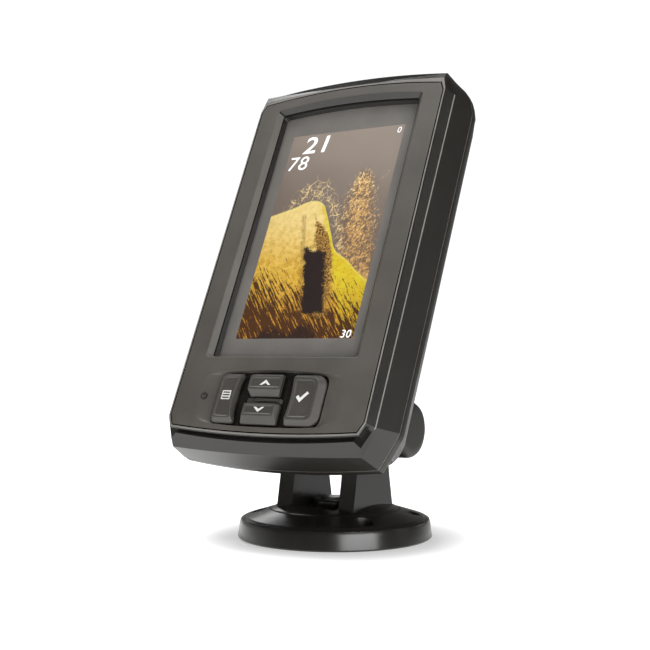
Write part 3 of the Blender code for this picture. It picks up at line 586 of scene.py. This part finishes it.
def fillet(table, steps=4):
    """Rows of ring and radius: each ring with a radius becomes steps + 1 rings that round its
    crease. Returns rings and, for each, the index of the row it came from."""
    made, source = [], []
    for i, (ring, radius) in enumerate(table):
        if not radius:
            made.append(ring)
            source.append(i)
            continue
        start = ring + unit(table[i - 1][0] - ring) * radius
        end = ring + unit(table[i + 1][0] - ring) * radius
        for k in range(steps + 1):
            s = k / steps
            made.append((1 - s) ** 2 * start + 2 * s * (1 - s) * ring + s * s * end)
            source.append(i)
    return made, source


def skin(rings, closed=False):
    """Vertices and faces through rings of equal length, and each face's ring index. If closed,
    the last ring joins the first; if not, both are capped."""
    count = len(rings[0])
    vertices = [tuple(point) for ring in rings for point in ring]
    faces, strip = [], []
    last = len(rings) if closed else len(rings) - 1
    for r in range(last):
        s = (r + 1) % len(rings)
        for i in range(count):
            j = (i + 1) % count
            faces.append((r * count + i, r * count + j, s * count + j, s * count + i))
            strip.append(r)
    if not closed:
        faces.append(tuple(range(count)))
        faces.append(tuple(range((len(rings) - 1) * count, len(rings) * count)))
        strip += [0, len(rings) - 2]
    return vertices, faces, strip


def finish_mesh(mesh, materials, smooth_deg):
    """Faces turned outward, materials, and smooth shading up to an angle."""
    work = bmesh.new()
    work.from_mesh(mesh)
    bmesh.ops.recalc_face_normals(work, faces=work.faces)
    work.to_mesh(mesh)
    work.free()
    for material in materials:
        mesh.materials.append(material)
    mesh.shade_smooth()
    mesh.set_sharp_from_angle(angle=math.radians(smooth_deg))


def placed(name, data):
    item = bpy.data.objects.new(name, data)
    bpy.context.scene.collection.objects.link(item)
    return item


def weigh(item):
    """Flat faces keep flat shading up to their rounded edges."""
    modifier = item.modifiers.new("weighted normals", "WEIGHTED_NORMAL")
    modifier.keep_sharp = True
    modifier.weight = 90


def hung(name, mesh, body, replaces=(), weighted=True):
    """A new object in the head frame, riding on a body."""
    item = placed(name, mesh)
    item.matrix_world = HEAD
    if weighted:
        weigh(item)
    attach(item, body)
    if replaces:
        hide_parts(*replaces)


def piece(name, vertices, faces, materials, body, indices=None, smooth_deg=38.0, replaces=()):
    """A new piece from vertices in mm in the head frame; indices are its faces' materials."""
    mesh = bpy.data.meshes.new(name)
    mesh.from_pydata([tuple(c * MM for c in vertex) for vertex in vertices], [], faces)
    if indices is not None:
        mesh.polygons.foreach_set("material_index", indices)
    finish_mesh(mesh, materials, smooth_deg)
    hung(name, mesh, body, replaces)


def with_holes(name, stacks, materials, replaces, smooth_deg=38.0):
    """A plate on the head: each stack of rings is a wall, and flat fills join the walls' first
    rings and their last rings. Returns its mesh."""
    work = bmesh.new()
    ends = ([], [])
    for rings in stacks:
        rows = [[work.verts.new(tuple(c * MM for c in point)) for point in ring] for ring in rings]
        count = len(rows[0])
        for a, b in zip(rows, rows[1:]):
            for i in range(count):
                j = (i + 1) % count
                work.faces.new((a[i], a[j], b[j], b[i]))
        for side, row in ((0, rows[0]), (1, rows[-1])):
            for i in range(count):
                ends[side].append(work.edges.get((row[i], row[(i + 1) % count])))
    for edges in ends:
        bmesh.ops.triangle_fill(work, use_beauty=True, use_dissolve=False, edges=edges)
    bmesh.ops.recalc_face_normals(work, faces=work.faces)
    mesh = bpy.data.meshes.new(name)
    work.to_mesh(mesh)
    work.free()
    finish_mesh(mesh, materials, smooth_deg)
    hung(name, mesh, "head", replaces)
    return mesh


WELD = 2e-6
FLAT_DEG = 0.4
ROUND_FROM_DEG = 30.0


def rounded_copy(node, mats, body, slot, width, segments):
    """The CAD node's own shape, welded, with its edges broken by a small round."""
    mesh = NODES[node].data.copy()
    mesh.name = node + "_skin"
    mesh.materials.clear()
    work = bmesh.new()
    work.from_mesh(mesh)
    bmesh.ops.remove_doubles(work, verts=work.verts, dist=WELD)
    bmesh.ops.dissolve_limit(work, angle_limit=math.radians(FLAT_DEG), verts=work.verts,
                             edges=work.edges)
    work.to_mesh(mesh)
    work.free()
    if mesh.has_custom_normals:
        mesh.attributes.remove(mesh.attributes["custom_normal"])
    finish_mesh(mesh, [mats[slot]], 35.0)
    item = placed(node + "_skin", mesh)
    bevel = item.modifiers.new("edge rounds", "BEVEL")
    bevel.width = width * MM
    bevel.segments = segments
    bevel.limit_method = "ANGLE"
    bevel.angle_limit = math.radians(ROUND_FROM_DEG)
    bevel.miter_outer = "MITER_ARC"
    bevel.use_clamp_overlap = True
    weigh(item)
    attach(item, body)
    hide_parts(node)


# ------------------------ the head

CHIN_V = -83.0
CHIN_HALF = 42.0
CHIN_STEP_RISE = 1.5
CHIN_CREASE_W = 0.6
GROOVE_W = 3.2
# Span of v in which the step's rounded edge gets the painted highlight
HIGHLIGHT_V = (-82.8, 57.2)


def blend(share, first, second):
    """Points that go from the first row's to the second row's as their share goes from 0 to 1."""
    return first * (1.0 - share[:, None]) + second * share[:, None]


def front_shell(mats):
    """Lip, glossy shoulder, side walls and chin of the front case. Under the lip's bottom edge
    a groove sinks in, and its lower side, the step, rises on the chin."""
    lip_edge, rim = case_ring("lip_edge", LIP_EDGE_W), case_ring("rim", PARTING_W)
    shoulder, flat = outline("shoulder"), outline("step")
    chin = np.clip((CHIN_V - flat[:, 1]) / 2.0, 0.0, 1.0)
    step = at(flat, SHOULDER_W + CHIN_STEP_RISE * chin * (np.abs(flat[:, 0]) < CHIN_HALF))
    groove = blend(chin, (lip_edge + step) / 2, case_ring("lip_edge", GROOVE_W, 0.5))
    slope = np.clip((-82.7 - shoulder[:, 1]) / 8.0, 0.0, 1.0)
    side = at(shoulder, SHOULDER_W) * 0.92 + rim * 0.08
    crease = blend(slope, side, at(shoulder, CHIN_CREASE_W))

    # From inside the lip round to inside the wall
    table = [(case_ring("face", GROOVE_W, -0.3), 0.0), (case_ring("face", FACE_W, -0.3), 0.12),
             (case_ring("lip", FACE_W), 0.15), (lip_edge, 0.2), (groove, 0.1), (step, 0.26),
             (crease, 0.2), (rim, 0.28), (case_ring("rim", PARTING_W, 2.6), 0.0),
             (case_ring("face", 0.5, -0.1), 0.0)]
    rings, source = fillet(table, 6)
    vertices, faces, strip = skin(rings, closed=True)

    # Painted highlight strips: the lip's front, the step down both sides, and the rim take a
    # lighter colour that stands in for the light along these rounded edges
    always, on_step = ((1, 1), (1, 2), (2, 2), (7, 7)), (5, 5)
    highlit_on_step = (flat[:, 1] > HIGHLIGHT_V[0]) & (flat[:, 1] < HIGHLIGHT_V[1])
    marks = []
    for k, r in enumerate(strip):
        pair = (source[r], source[(r + 1) % len(rings)])
        marks.append(int(pair in always or (pair == on_step and highlit_on_step[k % len(flat)])))
    piece("front_shell", vertices, faces, [mats["case_black"], mats["painted_edge_highlight"]], "head",
          marks, 15.0, ("front_housing",))


def front_wall(mats):
    """Wall behind the face plate, with the display opening and the keys' stem holes."""
    border = outline("face", 0.6)
    stacks = [[at(border, SEAT_W), at(border, WALL_BACK_W)],
              [window_ring(SEAT_W, 32.4, 58.0, 56.3, -57.1),
               window_ring(WALL_BACK_W, 32.1, 57.8, 56.1, -57.0)]]
    for u0, u1, v0, v1 in STEMS.values():
        hole = soft_rect(u0 - STEM_GAP, u1 + STEM_GAP, v0 - STEM_GAP, v1 + STEM_GAP, (0.8,) * 4)
        stacks.append([at(hole, SEAT_W), at(hole, WALL_BACK_W)])
    with_holes("front_wall", stacks, [mats["case_black"]], ("front_housing",))


DISH_ARCH_DROP = 2.0
DISH_ARCH_HALF = 29.5
DISH_ACROSS = 24
DISH_SIDE = 8
DISH_DROP = 0.95
DISH_STEPS = (0.12, 0.25, 0.4, 0.55, 0.7, 0.85, 1.0)


def dish_loop(top_half, bottom_half, top_v, right_corner, bottom_v, bottom_rise, low_corner):
    """Closed outline of the keypad scoop: arched top, right corner, right side, low corner and
    bottom, then the right side mirrored. The right corner is given as its curve's control and
    end, the low corner as its curve's start and control."""
    points = []
    for i in range(DISH_ACROSS + 1):
        u = -top_half + 2 * top_half * i / DISH_ACROSS
        points.append((u, top_v - DISH_ARCH_DROP * (u / DISH_ARCH_HALF) ** 2))
    start, (control, end) = points[-1], right_corner
    low_start, low_control = low_corner
    low_end = (bottom_half, bottom_v + bottom_rise)
    shares = [i / DISH_SIDE for i in range(1, DISH_SIDE + 1)]
    points += [tuple(bend(start, control, end, s)) for s in shares]
    points += [(end[0], end[1] + (low_start[1] - end[1]) * s) for s in shares]
    points += [tuple(bend(low_start, low_control, low_end, s)) for s in shares]
    for i in range(1, DISH_ACROSS + 1):
        u = bottom_half - 2 * bottom_half * i / DISH_ACROSS
        points.append((u, bottom_v + bottom_rise * (u / bottom_half) ** 2))
    right = points[DISH_ACROSS + 1:DISH_ACROSS + 3 * DISH_SIDE]
    return np.array(points + [(-u, v) for u, v in reversed(right)])


def dish_rings():
    """Scoop round the keypad: its outer, flush edge and its inner edge, point for point."""
    outer = dish_loop(29.5, 22.5, -62.8, ((32.6, -65.3), (33.0, -68.5)), -85.9, 0.9,
                      ((32.4, -81.5), (31.4, -84.2)))
    inner = dish_loop(20.6, 20.6, -63.15, ((24.5, -64.4), (24.6, -68.0)), -85.3, 0.0,
                      ((24.6, -81.2), (24.5, -85.2)))
    return outer, inner


PLATE_GAP = 0.22


def face_panel(mats):
    """Satin face plate with its display recess and the scooped keypad pocket."""
    border, _ = fillet([(case_ring("face", FACE_BACK_W, PLATE_GAP), 0.0),
                        (case_ring("face", FACE_W - 0.2, PLATE_GAP), 0.0),
                        (case_ring("face", FACE_W, PLATE_GAP), 0.12),
                        (case_ring("face", FACE_W, 0.8), 0.0)])
    window, _ = fillet([(window_ring(FACE_BACK_W, 32.75, 58.9, 57.0, -57.0), 0.0),
                        (window_ring(FACE_BACK_W + 0.2, 32.9, 59.1, 57.2, -57.02), 0.08),
                        (window_ring(FACE_W, 34.8, 61.0, 58.4, -57.5), 0.3),
                        (window_ring(FACE_W, 35.3, 61.5, 58.9, -58.0, 2.1), 0.0)])
    outer, inner = dish_rings()
    floor_w = FACE_W - DISH_DROP
    pocket = [at(inner, FACE_BACK_W), at(inner, floor_w - 0.25), at(inner, floor_w)]
    for t in DISH_STEPS:
        ease = t * t * (3 - 2 * t)
        pocket.append(at(inner + (outer - inner) * t, FACE_W - DISH_DROP * (1 - ease)))
    mesh = with_holes("face_panel", [border, window, pocket],
                      [mats["face_satin"], mats["case_black"]], ("face_plate",), 20.0)
    # Painted shade: the recess's top wall, which faces down, and the plate's outer border take the
    # case's black, standing in for the shade under the recess's top and in the gap round the plate
    for face in mesh.polygons:
        u, v, depth = face.center.x / MM, face.center.z / MM, FACE_W + face.center.y / MM
        hood = v > 55.0 and depth > 0.12 and face.normal.z < -0.3 and abs(u) < 36.0
        edge = depth > 0.2 and (abs(u) > 38.0 or v < -86.0 or v > 62.0)
        if hood or edge:
            face.material_index = 1


# Key stems as u0, u1, v0, v1, the same as the CAD's, and the gap round them in the wall
STEM_GAP = 0.5
STEMS = {
    "menu_key": (-21.6, -15.4, -81.5, -67.5),
    "up_key": (-6.5, 3.0, -71.2, -66.8),
    "down_key": (-6.5, 3.0, -82.0, -78.0),
    "check_key": (12.6, 20.0, -81.5, -67.5),
}

# Key caps as foot and crown (u0, u1, v0, v1, radii, bows) and the crown's flat rim width
CAPS = {
    "menu_key": ((-24.0, -13.4, -84.6, -64.5, (1.2, 1.0, 3.4, 2.6), (1.3, 0.0)),
                 (-22.3, -14.0, -83.0, -65.8, (0.9, 0.8, 2.4, 1.8), (1.0, 0.0)), 0.55),
    "up_key": ((-8.3, 4.8, -73.6, -64.5, (0.6, 0.8, 0.8, 0.6), (0.0, 0.0)),
               (-9.3, 5.7, -71.2, -65.6, (0.5, 0.7, 0.7, 0.5), (0.0, 0.0)), 0.7),
    "down_key": ((-9.8, 6.2, -84.6, -76.5, (0.8, 0.6, 0.6, 0.8), (0.0, 0.0)),
                 (-9.0, 5.2, -81.6, -76.9, (0.7, 0.5, 0.5, 0.7), (0.0, 0.0)), 0.5),
    "check_key": ((9.8, 24.0, -84.6, -64.5, (4.2, 4.6, 0.9, 0.9), (0.0, 0.6)),
                  (10.5, 21.6, -82.8, -66.0, (2.6, 3.0, 0.8, 0.8), (0.0, 0.6)), 1.0),
}


def shrunk(cap, amount):
    """A soft rectangle's values, smaller on every side."""
    u0, u1, v0, v1, radii, bows = cap
    return (u0 + amount, u1 - amount, v0 + amount, v1 - amount,
            tuple(max(0.35, r - amount * 0.6) for r in radii), bows)


def moulded(name, table, mats, body, replaces, steps=4):
    """A piece of key plastic through rows of soft rectangle, depth and rounding radius."""
    rings, _ = fillet([(at(soft_rect(*shape), w), radius) for shape, w, radius in table], steps)
    vertices, faces, _ = skin(rings)
    piece(name, vertices, faces, [mats["key_plastic"]], body, None, 50.0, (replaces,))


def key_pieces(mats):
    """Each key in one piece: flange, stem, cap and the sunk pad on its crown."""
    for name, (foot, crown, rim) in CAPS.items():
        stem = (*STEMS[name], (0.8,) * 4, (0.0, 0.0))
        flange = shrunk(stem, -0.6)
        pad_w = KEY_TOP_W - PAD_DROP
        table = [(flange, KEY_FLANGE_W[0], 0.0), (flange, KEY_FLANGE_W[1], 0.1),
                 (stem, KEY_FLANGE_W[1], 0.0), (stem, KEY_FOOT_W, 0.0),
                 (foot, KEY_FOOT_W, 0.12), (foot, KEY_FOOT_W + 0.9, 0.3),
                 (crown, KEY_TOP_W, 0.32), (shrunk(crown, rim), KEY_TOP_W, 0.16),
                 (shrunk(crown, rim + 0.55), pad_w, 0.2), (shrunk(crown, rim + 1.1), pad_w, 0.0)]
        moulded(name + "_cap", table, mats, name, name)


def prism(points, w0, w1):
    """Closed thin slab of a (u, v) outline."""
    rows = np.array(points, float)
    return skin([at(rows, w0), at(rows, w1)])[:2]


def merged(parts):
    """Several pieces' vertices and faces as one."""
    vertices, faces = [], []
    for points, polygons in parts:
        start = len(vertices)
        vertices += list(points)
        faces += [tuple(i + start for i in polygon) for polygon in polygons]
    return vertices, faces


def bar(u0, v0, u1, v1, thick):
    """Straight stroke from one (u, v) point to another."""
    along = np.array((u1 - u0, v1 - v0), float)
    along /= np.linalg.norm(along)
    side = np.array((-along[1], along[0])) * thick / 2
    a, b = np.array((u0, v0)), np.array((u1, v1))
    return [tuple(a - side), tuple(b - side), tuple(b + side), tuple(a + side)]


LIST_U = (-20.3, -16.7)
LIST_V = (-72.2, -73.25, -74.3, -75.35)
LIST_STROKE = 0.42
LIST_POST = 0.38
ARROW_U = -1.9
TICK = ((13.2, -73.9), (14.2, -73.1), (15.1, -74.2), (17.6, -71.6), (18.5, -72.3), (15.2, -75.9))
POWER_AT = (-29.9, -73.9)
POWER_RADIUS = 1.25
POWER_DASHES = 9
POWER_STROKE = 0.34


def icons(mats):
    """Pale symbols printed on the keys (a list, two arrows, a tick) and a grey power symbol."""
    low, high = KEY_TOP_W - PAD_DROP - PRINT_DEPTH, KEY_TOP_W - PAD_DROP + 0.04
    left, right = LIST_U
    top, bottom = LIST_V[0] + LIST_STROKE / 2, LIST_V[-1] - LIST_STROKE / 2
    lines = [prism(bar(left, v, right, v, LIST_STROKE), low, high) for v in LIST_V]
    lines += [prism(bar(u, bottom, u, top, LIST_POST), low, high) for u in LIST_U]
    marks = {"menu_key": merged(lines)}
    for key, v, way in (("up_key", -68.3, 1.0), ("down_key", -79.3, -1.0)):
        tip, foot = v + 1.0 * way, v - 1.1 * way
        arrow = ((0.0, tip), (2.4, foot), (1.3, foot), (0.0, tip - 1.25 * way), (-1.3, foot),
                 (-2.4, foot))
        marks[key] = prism([(ARROW_U + u, v) for u, v in arrow], low, high)
    marks["check_key"] = prism(TICK, low, high)
    for key, (vertices, faces) in marks.items():
        piece(key + "_symbol", vertices, faces, [mats["pale_print"]], key)

    # A ring of short bars open at the top, and one upright bar in the opening
    low, high = FACE_W - PRINT_DEPTH - 0.9, FACE_W + PRINT_DEPTH
    u, v = POWER_AT
    strokes = []
    for i in range(POWER_DASHES):
        ends = []
        for share in (i, i + 0.8):
            angle = math.radians(-235.0 + 290.0 * share / POWER_DASHES)
            ends += [u + POWER_RADIUS * math.cos(angle), v + POWER_RADIUS * math.sin(angle)]
        strokes.append(prism(bar(*ends, POWER_STROKE), low, high))
    strokes.append(prism(bar(u, v + 1.6, u, v + 0.1, POWER_STROKE), low, high))
    vertices, faces = merged(strokes)
    piece("power_symbol", vertices, faces, [mats["grey_print"]], "head")


def divider(mats):
    """Bar between the up and down keys, standing in a shallow saddle."""
    saddle = (-9.6, 6.0, -76.2, -74.0, (0.6,) * 4, (0.0, 0.0))
    ridge = (-5.0, 5.0, -75.6, -74.5, (0.4,) * 4, (0.0, 0.0))
    table = [(saddle, SEAT_W + 0.3, 0.0), (saddle, 4.9, 0.1), (shrunk(saddle, 0.3), 5.1, 0.1),
             (ridge, 5.2, 0.05), (shrunk(ridge, 0.1), 6.3, 0.0), (shrunk(ridge, 0.3), 6.4, 0.0)]
    moulded("keypad_bar", table, mats, "head", "keypad_divider", 3)


def display(mats):
    """Window with its printed border, and the lit picture behind it."""
    border = [window_ring(GLASS_BACK_W, 34.4, 60.0, 58.3, GLASS_BOTTOM_V, 2.0),
              window_ring(GLASS_FRONT_W - 0.2, 34.4, 60.0, 58.3, GLASS_BOTTOM_V, 2.0),
              window_ring(GLASS_FRONT_W, 34.2, 59.8, 58.1, GLASS_BOTTOM_V + 0.2, 2.0)]
    area = soft_rect(-ACTIVE_HALF_W, ACTIVE_HALF_W, -ACTIVE_HALF_H, ACTIVE_HALF_H, (0.5,) * 4)
    hole = [at(area, GLASS_BACK_W), at(area, GLASS_FRONT_W - 0.05)]
    hole.append(at(inward(area, -0.08), GLASS_FRONT_W))
    with_holes("display_glass", [border, hole], [mats["window_clear"]],
               ("display_window",))
    inner = inward(area, 0.03)
    vertices, faces, _ = skin([at(inner, GLASS_BACK_W + 0.1), at(inner, PICTURE_W)])
    piece("display_picture", vertices, faces, [mats["sonar_picture"]], "head",
          replaces=("lcd_panel",))


# Numbers on the picture: piece, text, left end, baseline, size, added weight, added width
NUMBERS = (("depth_number", "21", -20.4, 38.2, 11.4, 0.010, 1.16),
           ("temperature_number", "78", -26.0, 30.2, 9.4, 0.0, 1.04),
           ("range_top_number", "0", 23.6, 43.6, 3.9, 0.0, 1.0),
           ("range_low_number", "30", 21.0, -47.1, 4.6, 0.01, 0.98))
NUMBER_SLANT = 0.12
NUMBER_SPACING = 1.06


def numbers(mats):
    """Depth, temperature and range numbers, slanted as on such displays."""
    for name, text, u, v, size, weight, width in NUMBERS:
        curve = bpy.data.curves.new(name, "FONT")
        curve.body = text
        curve.size = size * MM
        curve.shear = NUMBER_SLANT
        curve.space_character = NUMBER_SPACING
        curve.offset = size * weight * MM
        curve.extrude = 0.04 * MM
        curve.resolution_u = 6
        maker = placed(name + "_maker", curve)
        bpy.context.view_layer.update()
        graph = bpy.context.evaluated_depsgraph_get()
        mesh = bpy.data.meshes.new_from_object(maker.evaluated_get(graph))
        bpy.data.objects.remove(maker, do_unlink=True)
        bpy.data.curves.remove(curve)
        upright = Matrix.Rotation(math.radians(90.0), 4, "X")
        mesh.transform(upright @ Matrix.Scale(width, 4, (1.0, 0.0, 0.0)))
        mesh.transform(Matrix.Translation(Vector((u, -PICTURE_W - 0.02, v)) * MM))
        mesh.name = name
        mesh.materials.clear()
        finish_mesh(mesh, [mats["lit_digit"]], 30.0)
        hung(name, mesh, "head", weighted=False)


# ------------------------ stage

CAMERA_AT = (247.164, -391.093, 75.448)
CAMERA_AZIMUTH = 32.788
CAMERA_PITCH = -1.101
CAMERA_LENS = 63.718
SENSOR = 36.0

# Area lights: azimuth and elevation in degrees, distance, width and height in metres, power
# in watts, and the height that the light is aimed at
LIGHTS = {
    "overhead_softbox": (-35.0, 80.0, 1.1, 0.5, 0.5, 5.6, 0.09),
    "left_softbox": (-105.0, 52.0, 1.2, 0.5, 0.4, 3.0, 0.09),
    "rear_left_softbox": (-138.0, 20.0, 1.2, 0.5, 0.22, 0.8, 0.09),
    "right_front_softbox": (60.0, 9.0, 0.8, 0.62, 0.22, 3.6, 0.02),
    "high_front_softbox": (60.0, 36.0, 1.0, 0.30, 0.26, 2.0, 0.09),
    "rear_softbox": (158.0, 8.0, 1.1, 0.42, 0.36, 0.18, 0.09),
    "right_card": (116.0, 10.0, 0.45, 0.16, 0.30, 0.05, 0.11),
}


def outward(azimuth, elevation):
    """Unit vector from the product towards a light or the camera; azimuth 0 is in front."""
    a, e = math.radians(azimuth), math.radians(elevation)
    return Vector((math.sin(a) * math.cos(e), -math.cos(a) * math.cos(e), math.sin(e)))


def softbox(name, azimuth, elevation, distance, width, height, power, aim_z):
    light = bpy.data.lights.new(name, "AREA")
    light.shape = "RECTANGLE"
    light.size = width
    light.size_y = height
    light.energy = power
    item = placed(name, light)
    back = outward(azimuth, elevation)
    item.location = Vector((0.0, 0.0, aim_z)) + back * distance
    item.rotation_mode = "QUATERNION"
    item.rotation_quaternion = back.to_track_quat("Z", "Y")


def studio_world():
    """Dim room, brighter near the horizon on the left and behind; the camera sees plain white."""
    world = bpy.data.worlds.new("studio")
    bpy.context.scene.world = world
    world.use_nodes = True
    tree = world.node_tree
    coordinate = tree.nodes.new("ShaderNodeTexCoord")
    split = tree.nodes.new("ShaderNodeSeparateXYZ")
    tree.links.new(coordinate.outputs["Generated"], split.inputs[0])
    x, y, z = [Field(tree, output) for output in split.outputs]
    near_horizon = abs(z).step(0.55, 0.15)
    left, behind = (-x).step(0.55, 1.0), y.step(0.35, 1.0)
    strength = (left * 0.5 + behind * 0.12) * near_horizon + 0.05
    room = tree.nodes["Background"]
    room.inputs["Color"].default_value = (1.0, 0.985, 0.955, 1.0)
    tree.links.new(strength.socket, room.inputs["Strength"])
    white = tree.nodes.new("ShaderNodeBackground")
    white.inputs["Color"].default_value = (1.0, 1.0, 1.0, 1.0)
    white.inputs["Strength"].default_value = 1.05
    path = tree.nodes.new("ShaderNodeLightPath")
    mixer = tree.nodes.new("ShaderNodeMixShader")
    tree.links.new(path.outputs["Is Camera Ray"], mixer.inputs[0])
    tree.links.new(room.outputs[0], mixer.inputs[1])
    tree.links.new(white.outputs[0], mixer.inputs[2])
    tree.links.new(mixer.outputs[0], tree.nodes["World Output"].inputs[0])


FLOOR_HALF = 6.0
FLOOR_Z = -0.0002


def studio_floor():
    """White floor that glows more away from the base and towards the camera, so that it meets
    the background unseen. Behind the product the glow is weaker for all but the camera."""
    look = Look("studio_floor", 0.7)
    speck = look.noise(0.02, detail=4.0)
    look.link(look.mix(speck, (0.62, 0.62, 0.62), (0.66, 0.66, 0.66)), "Base Color")
    look.set("Emission Color", (1.0, 1.0, 1.0, 1.0))
    look.set("Specular IOR Level", 0.1)
    radius = (look.x * look.x + look.y * look.y).op("SQRT")
    glow = radius.step(39.0, 66.0) * 0.6 + (-look.y).step(40.0, 160.0) * 0.5 + 0.42
    path = look.tree.nodes.new("ShaderNodeLightPath")
    seen = Field(look.tree, path.outputs["Is Camera Ray"])
    dimmed = look.y.step(30.0, 80.0) * 0.75 * (1.0 - seen)
    look.link(glow * (1.0 - dimmed), "Emission Strength")
    corners = ((-1, -1), (1, -1), (1, 1), (-1, 1))
    mesh = bpy.data.meshes.new("floor")
    mesh.from_pydata([(x * FLOOR_HALF, y * FLOOR_HALF, 0) for x, y in corners], [], [(0, 1, 2, 3)])
    mesh.materials.append(look.material)
    floor = placed("floor", mesh)
    floor.location.z = FLOOR_Z


def stage():
    """White floor and room, soft studio lights and the camera."""
    studio_floor()
    studio_world()
    for name, values in LIGHTS.items():
        softbox(name, *values)

    data = bpy.data.cameras.new("camera")
    data.sensor_width = SENSOR
    data.lens = CAMERA_LENS
    data.clip_start = 0.01
    data.clip_end = 50.0
    camera = placed("camera", data)
    camera.location = Vector(CAMERA_AT) * MM
    camera.rotation_mode = "QUATERNION"
    ahead = outward(CAMERA_AZIMUTH, CAMERA_PITCH) * -1.0
    camera.rotation_quaternion = ahead.to_track_quat("-Z", "Y")
    bpy.context.scene.camera = camera
    bpy.context.scene.view_settings.view_transform = "Standard"


# ------------------------ assembly

def carried_nodes(mats):
    """Every CAD node that stays takes the finish of its slot."""
    for node in NODES.values():
        for slot in node.material_slots:
            name = slot.material.name.split(".")[0]
            slot.link = "DATA"
            slot.material = mats[name]


# CAD nodes shown as their own shape with rounded edges: body, slot, the round's width in mm
# and its segments
ROUNDED = {
    "rear_housing": ("head", "case_black", 0.3, 2),
    "base_plate": ("base", "mount_black", 0.25, 3),
    "swivel_bracket": ("bracket", "mount_black", 0.4, 3),
    "tilt_knob": ("tilt_knob", "knob_rubber", 0.2, 2),
}


def build():
    # The CAD's materials make way for new ones with their names
    for material in list(bpy.data.materials):
        material.name = material.name + ".cad"
    mats = looks()
    carried_nodes(mats)
    for make in (front_shell, front_wall, face_panel, key_pieces, divider, icons, display, numbers):
        make(mats)
    for node, values in ROUNDED.items():
        rounded_copy(node, mats, *values)
    stage()


build()
